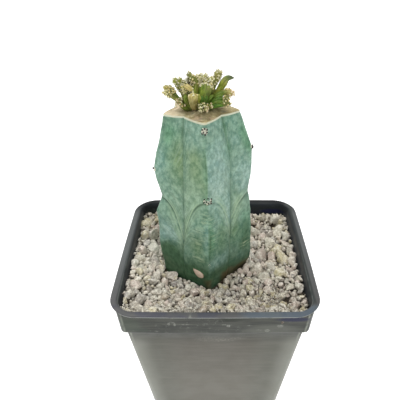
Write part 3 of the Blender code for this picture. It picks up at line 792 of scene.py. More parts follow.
# Patches of colour on the skin. Faces are numbered round the stem: 1 is the left rib's right flank, 2 and 3
# are the front rib's, and 4 is the right rib's left flank. Each row has its faces, its height and share
# from crest to valley, its spread of both, and its strength.
PATCHES = {
    # Blue on face 3 is partly bloom and partly painted reflection on the front rib's lit right flank; the row
    # on face 2 next to the crest is a painted highlight
    "blue": (
        (1, 18.5, 0.4, 4.6, 0.4, 1.2), (1, 45, 0.25, 8, 0.25, 0.45), (3, 40, 0.5, 22, 0.9, 0.5),
        (3, 37, 0.4, 5, 0.6, 1.1), (3, 7.5, 0.4, 2.6, 0.6, 0.8), (4, 3.5, 0.5, 2.4, 0.5, 0.5),
        (4, 22, 0.45, 3.5, 0.3, 0.3), (4, 54, 0.6, 5, 0.25, 0.7), (4, 38, 0.5, 6, 0.5, 0.8),
        (2, 20, 0.08, 6, 0.09, 0.9), (2, 55, 0.5, 4, 0.6, 0.3), (3, 24, 0.93, 6, 0.08, 0.6),
    ),
    "olive": (
        (2, 46, 0.5, 7, 0.5, 0.8), (2, 39, 0.3, 4, 0.4, 0.4), (1, 44, 0.85, 8, 0.35, 1),
        (2, 15, 0.45, 5, 0.25, 0.6), (3, 18, 0.62, 6, 0.28, 0.6), (4, 17, 0.8, 5, 0.2, 0.7),
        (2, 9, 0.45, 4, 0.4, 0.35),
    ),
    "sat": (
        (1, 55, 0.4, 5, 0.3, 1), (1, 38, 0.3, 9, 0.2, 0.2), (2, 40, 0.05, 12, 0.12, 0.6),
        (3, 19, 0.13, 8, 0.12, 1.6), (4, 50, 0.2, 6, 0.2, 1), (4, 53, 0.97, 6, 0.06, 0.8),
        (3, 53, 0.97, 6, 0.05, 0.6), (4, 12, 0.35, 8, 0.35, 0.7), (2, 26, 0.3, 4, 0.25, 0.4),
        (4, 57, 0.6, 4, 0.4, 0.35), (4, 22, 0.3, 5, 0.3, 0.4), (3, 18, 0.5, 6, 0.3, 0.4),
    ),
    "dark": (
        (3, 17, 0.06, 9, 0.05, 0.6), (1, 7.5, 0.45, 4.6, 0.5, 1), (1, 56, 0.15, 6, 0.15, 0.3),
        (2, 46, 0.04, 6, 0.06, 0.6), (2, 3, 0.6, 4.5, 0.7, 0.9), (4, 13, 0.3, 7, 0.3, 0.7),
        (3, 13, 0.3, 5, 0.5, 0.25), ((2, 3), 29, 0.1, 2.2, 0.3, 0.25), (3, 2.5, 0.6, 2.2, 0.6, 0.25),
        (1, 24, 0.45, 4.5, 0.5, 0.26), (2, 8, 0.45, 4, 0.4, 0.14),
    ),
    "pale": (
        (1, 27, 0.8, 6, 0.35, 0.4), (2, 35, 0.6, 5, 0.5, 0.8), (2, 24, 0.9, 8, 0.12, 0.8),
        (4, 29, 0.8, 6, 0.25, 0.8), (1, 16, 0.9, 5, 0.1, 0.7), (3, 36, 0.4, 5, 0.5, 0.6),
    ),
    "lilac": (
        (3, 37.5, 0.4, 5, 0.5, 0.9), (4, 38, 0.5, 5, 0.4, 0.6), (3, 26, 0.82, 4.5, 0.12, 1),
        (4, 25, 0.97, 4, 0.05, 0.8), (1, 17, 0.5, 3, 0.3, 0.9), ((1, 2), 22, 0.98, 7, 0.05, 0.7),
        (3, 9, 0.1, 3, 0.12, 0.5), (3, 48, 0.4, 6, 0.5, 0.6),
    ),
}

# For each seen face, the height of the growth line at the crest and its fall to the valley
GROWTH = {1: (30.2, 15.5), 2: (33.2, 18.5), 3: (33.2, 19.0), 4: (30.0, 9.0)}


def skin_values(level, height, share, face, points):
    """How blue, olive, dark and pale the skin is at each point, and where lines run on it."""
    wave, small = noise(points, 6.0, 6), noise(points, 2.4, 16)
    sway, sway_share = height + 1.6 * noise(points, 5.0, 26), share + 0.07 * noise(points, 4.0, 27)
    values = {}
    for label, rows in PATCHES.items():
        values[label] = np.zeros(share.shape)
        for on, at, across, tall, wide, strength in rows:
            spot = gauss(sway, at, tall) * gauss(sway_share, across, wide)
            values[label] += np.isin(face, on) * strength * spot
    middle = 0.03 + 0.07 * ease(46, 56, height)
    # The front rib's right flank turns blue just off its crest: partly bloom, partly painted reflection on that
    # flank
    values["blue"] *= np.where(face == 3, ease(middle - 0.015, middle + 0.015, share), 1)
    values["blue"] += 0.35 + 0.2 * wave
    values["olive"] += 0.2 * wave + 0.1 * small
    values["sat"] += 0.25 * noise(points, 4.5, 28)
    values["dark"] += 0.12 * wave + 0.2 * small + 0.75 * ease(9, 1, height)
    values["dark"] += 0.5 * (face == 1) * ease(0.4, -0.8, sway - 12.0 - 3.6 * share)
    flare = share ** 2 * (0.3 + 0.7 * share)
    crest = LINE_CREST + 0.5 - LINE_DROP * flare
    for number, (top, fall) in GROWTH.items():
        crest = np.where(face == number, top - fall * flare, crest)
    growth_at = height - crest - 0.35 * noise(points * [1, 1, 0.2], 5.0, 3)
    across = growth_at / np.sqrt(1 + (1.4 * share) ** 2)

    def rub(at, tall, across_at, wide):
        return gauss(height, at, tall) * gauss(share, across_at, wide)

    scrape = (face == 2) * (rub(10 - 0.8 * share, 0.9, 0.42, 0.2) + 0.6 * rub(19, 5, 0.4, 0.3))
    scrape = scrape + (face == 4) * rub(8.8, 2.2, 0.3, 0.22) + (face == 3) * 0.5 * rub(19, 5, 0.2, 0.2)
    scrape = scrape + np.isin(face, (2, 3)) * 0.55 * rub(27, 2.6, 0.12, 0.22)
    rows = gauss(level, 31, 14) * ease(0.3, 0.85, share) + 0.08 * gauss(level, 24, 7)
    fibres = gauss(height, 54, 10) * ease(0.35, 0.95, share)
    fibres = fibres + 0.35 * gauss(height, 14, 10) * ease(0.7, 1.0, share)
    # Painted shade along the valleys between the ribs
    seam = 0.4 * ease(0.88, 0.97, share) + 0.6 * ease(0.972, 0.996, share)
    line = gauss(across, -0.1, 0.33) * (1 - ease(0.35, 0.8, share))
    bands = gauss(across, 0.9, 0.45) + 0.6 * gauss(across, -0.9, 0.4)
    bands = bands + 0.5 * gauss(across, 2.4, 0.5) + 0.4 * gauss(across, -2.4, 0.5)
    brown = np.select([face == 2, face == 3, face >= 4], [
        0.5 * ease(0.3, 0.0, share), 0.5 * ease(0.25, 0.05, share) + 0.7 * ease(0.45, 0.8, share),
        np.where(face == 4, 0.6, 0.5),
    ], 0.0)
    values.update(
        rows=rows, fibres=fibres, seam=seam * (1 - 0.65 * gauss(height, 46, 8)),
        line=line * np.where(face == 3, 1 - 0.8 * ease(0.1, 0.45, share), 1),
        bands=bands * ease(0.15, 0.6, share), brown=brown, scrape=scrape,
    )
    return {label: np.clip(numbers, 0, 1) for label, numbers in values.items()}, growth_at


def make_stem(cloth):
    plan, height, share, face = stem_rows(STEM_LEVELS)
    level = np.broadcast_to(STEM_LEVELS[:, None], height.shape)
    out = plan / np.linalg.norm(plan, axis=-1, keepdims=True)
    points = np.concatenate([plan + [STEM_X, STEM_Y], (height + STEM_Z)[..., None]], -1)
    values, growth_at = skin_values(level, height, share, face, points)
    bulge = 0.35 * gauss(growth_at, -3.0, 2.2) - 0.3 * gauss(growth_at, 0.0, 0.5)
    for at, reach in ((4.4, 0.5), (8.5, 0.6), (-5.5, 0.5), (-9.5, 0.7)):
        step = level - LINE_CREST - at - 0.8 * noise(points, 6.0, 8)
        bulge = bulge + share * 0.14 * (gauss(step, -1.2, 1.0) - gauss(step, 0.0, reach))
    lumps = 0.2 * noise(points, 7.0, 1) + 0.09 * noise(points, 2.6, 2) + 0.03 * noise(points, 1.0, 4)
    across = np.stack([plan[..., 0], plan[..., 1], height * 0.06], -1)
    lumps = lumps + 0.05 * noise(across, 0.6, 19) * values["fibres"]
    push = (bulge + lumps) * ease(-2, 2, level) * (1 - 0.5 * ease(0.93, 1.0, share))
    top = ease(58.6, 59.65, level)
    push = push * (1 - top) - 0.15 * top
    points[..., :2] += out * push[..., None]
    skin, *faces = closed_loft(points, [STEM_X, STEM_Y, STEM_Z - 19.5], [STEM_X, STEM_Y, STEM_Z + 58.6])
    steps = np.linalg.norm(np.diff(plan, axis=1, prepend=plan[:, -1:]), axis=-1)
    values.update(share=share, level=level, rise=height, face=face * 7.0, arc=np.cumsum(steps, axis=1))
    values = {label: np.append(numbers.ravel(), [0, 0]) for label, numbers in values.items()}
    stem = mesh_piece("rootstock_skin", skin, faces, values, cloth)
    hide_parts("rootstock")
    return points, share, face, height


# Rings of the callus: share of the way out to the edge of the cut, and height above the cut
CALLUS = (
    (0.97, -1.2), (0.992, -0.75), (0.999, -0.3), (0.997, -0.02), (0.988, 0.1), (0.975, 0.12), (0.962, 0.04),
    (0.945, -0.04), (0.92, -0.05), (0.88, 0.05), (0.83, 0.1), (0.77, 0.2), (0.7, 0.34), (0.63, 0.5),
    (0.55, 0.7), (0.46, 0.85), (0.37, 0.95), (0.28, 1.0), (0.19, 1.0), (0.1, 1.0),
)


def make_callus():
    """The dry cut face: a pale skin edge, and tan callus from it up to the scion."""
    cut = stem_rows([59.0, 60.0])[0][1]
    middle = np.array([STEM_X, STEM_Y])
    rings = []
    for share, lift in CALLUS:
        ring = np.column_stack([middle + cut * share, np.full(len(cut), CUT_Z + lift)])
        rough = 0.3 * noise(ring, 3.2, 21) + 0.14 * noise(ring, 1.2, 22) + 0.07 * noise(ring, 0.5, 23)
        ring[:, 2] += (1 - ease(0.9, 0.97, share)) * rough
        ring[:, 2] += 0.06 * noise(ring, 1.5, 9)
        rings.append(ring)
    points, *faces = closed_loft(np.array(rings), [*middle, CUT_Z - 1.3], [*middle, CUT_Z + 1.0])
    values = {"edge": np.append(np.repeat([share for share, _ in CALLUS], len(cut)), [1.0, 0.0])}
    mesh_piece("graft_callus", points, faces, values, callus_material())


def make_areoles(rng, wool, spines):
    """Small clumps of pale felt on the crests, each with short dark spines and a few pale ones."""
    felt = Batch("tone")
    needles = Batch("tone", "tip")
    ball, ball_faces = SPHERES[2]
    up = np.array([0, 0, 1.0])
    for rib, height, size, wide, share in AREOLES:
        azimuth = float(turn_at(RIBS[rib], height))
        out = np.array([math.cos(azimuth), math.sin(azimuth), 0])
        across = np.array([-out[1], out[0], 0])
        reach = smooth(CRESTS[rib], height, CREST_BLUR) - 0.05
        at = np.array([STEM_X, STEM_Y, STEM_Z + height]) + out * reach
        for clump in range(FELT_CLUMPS):
            angle = clump * GOLDEN_TURN
            spread = size * math.sqrt((clump + 0.3) / FELT_CLUMPS)
            spot = at + (across * 1.1 * wide * math.cos(angle) + up * 1.15 * math.sin(angle)) * spread
            shape = ball * (1 + 0.35 * noise(ball + clump * 5, 0.5, 31))[:, None]
            shape = shape * rng.uniform(0.22, 0.34) * min(1, size + 0.5) * [1, 1, 1.15]
            felt.add(spot - out * 0.32 * spread ** 2 + shape, triangles=ball_faces, tone=rng.uniform(0.0, 0.06))
        for number in range(AREOLE_SPINES):
            dark = number < AREOLE_SPINES * share
            angle = number * GOLDEN_TURN + rng.uniform(-0.25, 0.25)
            sideways, rise = 0.8 * math.cos(angle), 0.8 * math.sin(angle)
            if dark:
                sideways, rise = DOTS[number % len(DOTS)]
            fan = across * sideways * wide * 1.2 + up * rise
            aim = unit(out + up * rng.uniform(0.4, 0.7) + fan * 0.2) if dark else unit(out * 0.4 + fan)
            root = at + (fan - out * 0.3 * size * fan.dot(fan)) * size + out * (0.3 if dark else 0.1)
            length = rng.uniform(0.45, 0.7) if dark else rng.uniform(0.35, 0.7) * min(wide, size) * 0.8
            girth = np.interp(np.linspace(0, 1, 6), [0, 0.7, 1], [0.27, 0.26, 0.14]) * min(1, size)
            thin, start, end = (1, 0.6, 1) if dark else (0.33, 0, 0.4)
            add_spine(needles, root, aim, 0.55, out * 0.15, length, girth * thin, 6, float(dark), start, end)
    felt.piece("areole_felt", wool, "rootstock")
    needles.piece("areole_spines", spines, "rootstock")


def make_scar(points, share, face, height):
    """A pale almond-shaped patch of cork beside the front crest, raised a little from the flank."""
    flank, share, height = points[face == 2], share[face == 2], height[face == 2]

    def spot(at_share, at_height):
        return flank[np.argmin(np.abs(share - at_share) * 14 + np.abs(height - at_height))]

    at = spot(0.41, 3.0)
    toward = unit((spot(0.2, 3.2) - spot(0.55, 3.2)) * [1, 1, 0])
    out = unit(np.cross(toward, [0, 0, 1]))
    along = unit(toward * 4.0 - np.array([0, 0, 3.0]))
    across = np.cross(out, along)
    u, v = np.meshgrid(np.linspace(-1, 1, 41), np.linspace(-1, 1, 25), indexing="ij")
    width = (1 - u ** 2) ** 0.6 * (1 + 0.3 * u)
    dome = (1 - v ** 2) ** 0.7 * np.minimum(width, 1) ** 0.7
    shape = np.stack([u * 2.6, v * width * 1.6, 0.45 * dome - 0.08], -1)
    shape[..., 2] += 0.06 * noise(shape, 0.8, 12) * width
    top = at + shape[..., :1] * along + shape[..., 1:2] * across + shape[..., 2:] * out
    low = top - out * (0.5 + 0.35 * width)[..., None]
    rows, columns = u.shape
    total = rows * columns
    rim = np.concatenate([
        np.arange(columns), np.arange(1, rows) * columns + columns - 1,
        (rows - 1) * columns + np.arange(columns - 2, -1, -1), np.arange(rows - 2, 0, -1) * columns,
    ])
    after = np.roll(rim, -1)
    quads = grid_faces(rows, columns, closed=False)
    wall = np.stack([rim + total, after + total, after, rim], -1)
    faces = np.concatenate([quads, quads[:, ::-1] + total, wall])
    both = np.concatenate([top.reshape(-1, 3), low.reshape(-1, 3)])
    mesh_piece("corky_scar", both, [faces], {"middle": np.tile(dome.ravel(), 2)}, cork_material())


# Pumice: its level and half width, the inside of the pot there, and how far stones sink into each other
GRAVEL_Z = 73.0
GRAVEL_HALF = 31.0
INNER_HALF, INNER_RADIUS = 31.9, 3.4
NESTING = 0.82
BELOW_ALL = -1e9


def gravel_top(x, y):
    """Height of the gravel: banked against the pot's front, with two hollows."""
    share = np.maximum(np.abs(x), np.abs(y)) / GRAVEL_HALF
    at = np.stack([x, y, np.zeros_like(x)], -1)
    banked = 1.7 * ease(0.78, 1.0, share) * ease(8, -12, y)
    hollow = 2.2 * gauss(x, 1.8, 3.0) * gauss(y, -13.2, 3.0) + 2.4 * gauss(x, 30, 2.6) * gauss(y, -7.5, 4.5)
    level = GRAVEL_Z + 3.0 * ease(0.5, 1.0, share) + banked - hollow
    return level - 0.01 * (x + y) + 0.45 * noise(at, 9.0, 14)


def make_bed():
    """The substrate under the loose stones."""
    half = COLLAR_FOOT_HALF - WALL - 0.12
    rings = [rounded_square(*ring) for ring in (
        (FOOT_HALF - WALL - 0.3, 2.2, FLOOR + 0.3), (FOOT_HALF - WALL - 0.1, 2.3, FLOOR + 1.2),
        (BODY_HALF - WALL - 0.35, 2.6, COLLAR_FOOT_Z - 0.8), (half - 0.15, 2.9, COLLAR_FOOT_Z + 1.1),
    )]
    for share in (1.0, 0.97, 0.93, 0.88, 0.82, 0.76, 0.7, 0.64, 0.57, 0.5, 0.42, 0.34, 0.26, 0.18, 0.1, 0.04):
        row = rounded_square(half + 0.1, 3.0, 0.0)
        row[:, :2] *= share
        row[:, 2] = gravel_top(row[:, 0], row[:, 1]) - 2.5 + 0.5 * noise(row, 2.2, 33)
        rings.append(row)
    points, *faces = closed_loft(np.array(rings), [0, 0, FLOOR + 0.3], [0, 0, 70.0])
    bed = mesh_piece("substrate", points, faces, {}, bed_material())
    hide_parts("pumice_bed")


# Larger stones that lie where they are seen: x, y, radius and tone
LARGE_STONES = (
    (-30, 23.1, 2.7, 0.77), (-30, 13.7, 1.9, 0.8), (-26.5, 14.4, 2.5, 0.5), (-28.6, 3.1, 2.1, 0.3),
    (-23.9, 0, 2.1, 0.9), (28.4, 25.4, 2.5, 0.76), (25.9, 23.9, 2.6, 0.6), (20.6, 28.4, 2.2, 0.72),
    (25, 6.6, 2.4, 0.79), (27, 0.4, 3.3, 0.78), (23.2, 11.4, 2.6, 0.15), (17.6, 20.6, 2.7, 0.55),
    (27.4, 19.2, 2.5, 0.05), (15.8, 11.2, 2.3, 0.7), (18.8, 4.3, 2.8, 0.34), (13.9, -0.6, 2, 0.6),
    (16.9, -4.6, 2.4, 0.2), (20.3, 16.5, 2.3, 0.3), (29.3, 13.7, 1.9, 0.5), (-28.1, 8.4, 1.7, 0.93),
    (-10, 26, 2.6, 0.5), (2, 24.5, 2.3, 0.75), (11, 22, 2.5, 0.3), (-19, 27.5, 2.2, 0.15), (-25, 6.8, 2.1, 0.6),
    (-24.2, 20.4, 2.3, 0.33), (-30.1, -8.6, 1.3, 0.3), (-28.2, -9.5, 1.2, 0.77), (-25.3, -11.2, 1.5, 0.75),
    (-23, -12.5, 1.7, 0.7), (-18.6, -11.2, 1.8, 0.3), (-20.3, -14.6, 1.5, 0.52), (-17.8, -16.6, 1.2, 0.56),
    (-24, -16.6, 1.4, 1), (-28.5, -17.2, 2.4, 0.3), (-24.6, -18.8, 1.2, 0.15), (-21.6, -20.6, 1.4, 0.56),
    (-23.1, -24, 1.6, 0.32), (-29.1, -22.1, 1.6, 0.42), (-30.1, -23.8, 1.2, 0.93), (-30.3, -26.1, 1, 0.79),
    (-27.5, -26.8, 1.8, 0.42), (-19.7, -27.7, 1.7, 0.7), (-15.1, -12.1, 1.4, 0.94), (-12.7, -13.1, 1.5, 0.92),
    (-9.9, -13.6, 1.5, 0.55), (-7.7, -16.6, 2, 0.3), (-4.2, -20, 1.5, 0.33), (-12.6, -18.4, 1.8, 0.36),
    (-17.4, -19.6, 1.8, 0.84), (-12, -23.8, 1.8, 0.86), (-3, -26.2, 1.7, 0.74), (-16.3, -24, 1.2, 0.3),
    (-7.9, -23.7, 1.2, 0.2), (4.1, -12.1, 1.2, 0.75), (6.5, -11.2, 1.2, 0.15), (7.8, -14, 1.4, 0.32),
    (4.6, -16.4, 1.4, 0.93), (-1, -20.6, 1.1, 0.3), (1.7, -21.8, 1.8, 0.7), (3.4, -23, 0.9, 0.55),
    (9.9, -17.8, 1.4, 0.02), (12, -20.6, 1.8, 0.74), (12.6, -24.1, 1.9, 0.16), (5.1, -27.8, 1.7, 0.79),
    (0.6, -27, 1.7, 0.76), (11.1, -11.2, 1.2, 0.3), (12.9, -6.4, 1.4, 0.33), (14.4, -12.7, 1.2, 1),
    (16.7, -13.8, 1.1, 0.97), (19.4, -12.5, 1.7, 0.3), (19.1, -15.5, 1.5, 0.28), (16.9, -26.4, 1.5, 0.8),
    (24.4, -7.8, 2.1, 0.79), (24.1, -14.2, 1.5, 0.3), (27.2, -16.8, 1.8, 0.02), (23.7, -23.7, 1.7, 0.77),
    (27.4, -26.1, 1.8, 0.31), (29.9, -17.9, 1.5, 0.56), (29.9, -20.3, 1.5, 0.7),
)

# Rounds of smaller stones: how many at most, smallest and largest radius, and how far they may stand out
ROUNDS = ((420, 1.5, 2.5, 0.6), (900, 0.85, 1.45, 0.2), (1100, 0.45, 0.9, 0.05), (900, 0.26, 0.42, 0.1))
MOST_STONES = 8000
MOST_MISSES = 80
TRIES = 60
FACETS = 9


def pack_stones(rng, ring):
    """Stones dropped where the surface is lowest, until it reaches the gravel's level."""
    flat = ring[:, :2] - [STEM_X, STEM_Y]
    turn = np.arctan2(flat[:, 1], flat[:, 0])
    order = np.argsort(turn)
    turn, radius = turn[order], np.hypot(*flat.T)[order]

    def clear(x, y):
        around = np.arctan2(y - STEM_Y, x - STEM_X)
        from_stem = np.hypot(x - STEM_X, y - STEM_Y) - np.interp(around, turn, radius, period=TAU)
        return np.minimum(square_reach(x, y, INNER_HALF, INNER_RADIUS), from_stem * 0.93)

    placed = np.zeros((MOST_STONES, 5))
    count = 0

    def rest_on(x, y, size, floor):
        near = placed[:count]
        gap2 = (x[:, None] - near[:, 0]) ** 2 + (y[:, None] - near[:, 1]) ** 2
        touch = NESTING * (size + near[:, 3])
        lift = near[:, 2] + np.sqrt(np.maximum(touch ** 2 - gap2, 0))
        lift = np.where(gap2 < touch ** 2, lift, BELOW_ALL)
        return np.maximum(floor, lift.max(1, initial=BELOW_ALL))

    for x, y, size, tone in LARGE_STONES:
        x, y = np.array([x]), np.array([y])
        rest = rest_on(x, y, size, gravel_top(x, y) - size * 0.52)
        placed[count] = (x[0], y[0], rest[0], size, tone)
        count += 1
    for amount, low, high, slack in ROUNDS:
        misses = 0
        for _ in range(amount):
            size = low + (high - low) * rng.random() ** 1.3
            x, y = rng.uniform(-31.5, 31.5, (2, TRIES))
            keep = clear(x, y) > size * 0.85
            if size > 1.5:
                coarse = noise(np.stack([x, y, x * 0], -1), 14.0, 17)
                keep &= coarse + 0.5 * (y > 0) + 0.2 * (x < -8) > -0.35
            if size < 0.42:
                keep &= (y < -28.5) | (np.hypot(x - 15, y + 18) < 8)
            x, y = x[keep], y[keep]
            if not len(x):
                continue
            goal = gravel_top(x, y)
            rest = rest_on(x, y, size, goal - 3.8 + size * 0.5)
            room = goal - rest - size * 0.7
            best = int(np.argmax(room))
            if room[best] < -slack:
                misses += 1
                if misses > MOST_MISSES:
                    break
                continue
            placed[count] = (x[best], y[best], rest[best], size, -1)
            count += 1
    return placed[:count]


def make_stones(rng, ring):
    stones = pack_stones(rng, ring)
    cloth = stone_material()
    batches = []
    for x, y, z, size, tone in stones:
        detail = 4 if size > 1.95 else 3 if size > 0.8 else 2 if size > 0.42 else 1
        ball, faces = SPHERES[detail]
        if not batches or batches[-1].faces + len(faces) > MOST_TRIANGLES:
            batches.append(Batch("tone", "deep"))
        shape = ball * 1.1
        for _ in range(FACETS):
            normal = unit(rng.normal(size=3))
            over = np.maximum(shape @ normal - rng.uniform(0.5, 0.88), 0)
            shape = shape - over[:, None] * normal * 0.95
        spot = shape + rng.uniform(0, 50, 3)
        rough = 0.17 * noise(spot, 0.75, 41) + 0.09 * noise(spot, 0.34, 42)
        if detail > 2 and size > 1.4:
            rough = rough + 0.04 * noise(spot, 0.17, 43) - 0.1 * ease(0.35, 0.7, noise(spot, 0.42, 44))
        shape = shape * (1 + rough)[:, None] * rng.uniform(0.74, 1.36, 3)
        q, _ = np.linalg.qr(rng.normal(size=(3, 3)))
        shape = shape @ (q * np.sign(np.linalg.det(q)))
        if tone < 0:
            tone = 0.52 + 0.06 * rng.random() if y < -28.3 and size < 0.9 else rng.random()
        points = np.array([x, y, z]) + shape * size
        # Painted shade for the gaps between stones: darker the deeper a point lies under the gravel's top,
        # sooner at the front, weaker at the left
        sunk = gravel_top(points[:, 0], points[:, 1]) - points[:, 2]
        front = ease(-4, -14, y)
        deep = np.clip(ease(0.7 - 0.3 * front, 3.3 - 0.9 * front, sunk), 0, 0.84)
        batches[-1].add(points, triangles=faces, tone=tone, deep=deep * (1 - 0.3 * ease(-6, -18, x)))
    for number, batch in enumerate(batches, 1):
        batch.piece(f"pumice_stones_{number}", cloth, "pumice_bed")


# Scion
SCION = np.array([-4.9, 1.8, 135.3])
ARM_STEPS = 30
ARM_SIDES = 24
RAYS = 5
NEEDLE = (0.1, 0.085, 0.06, 0.02)
NEEDLE_SIDES = 3

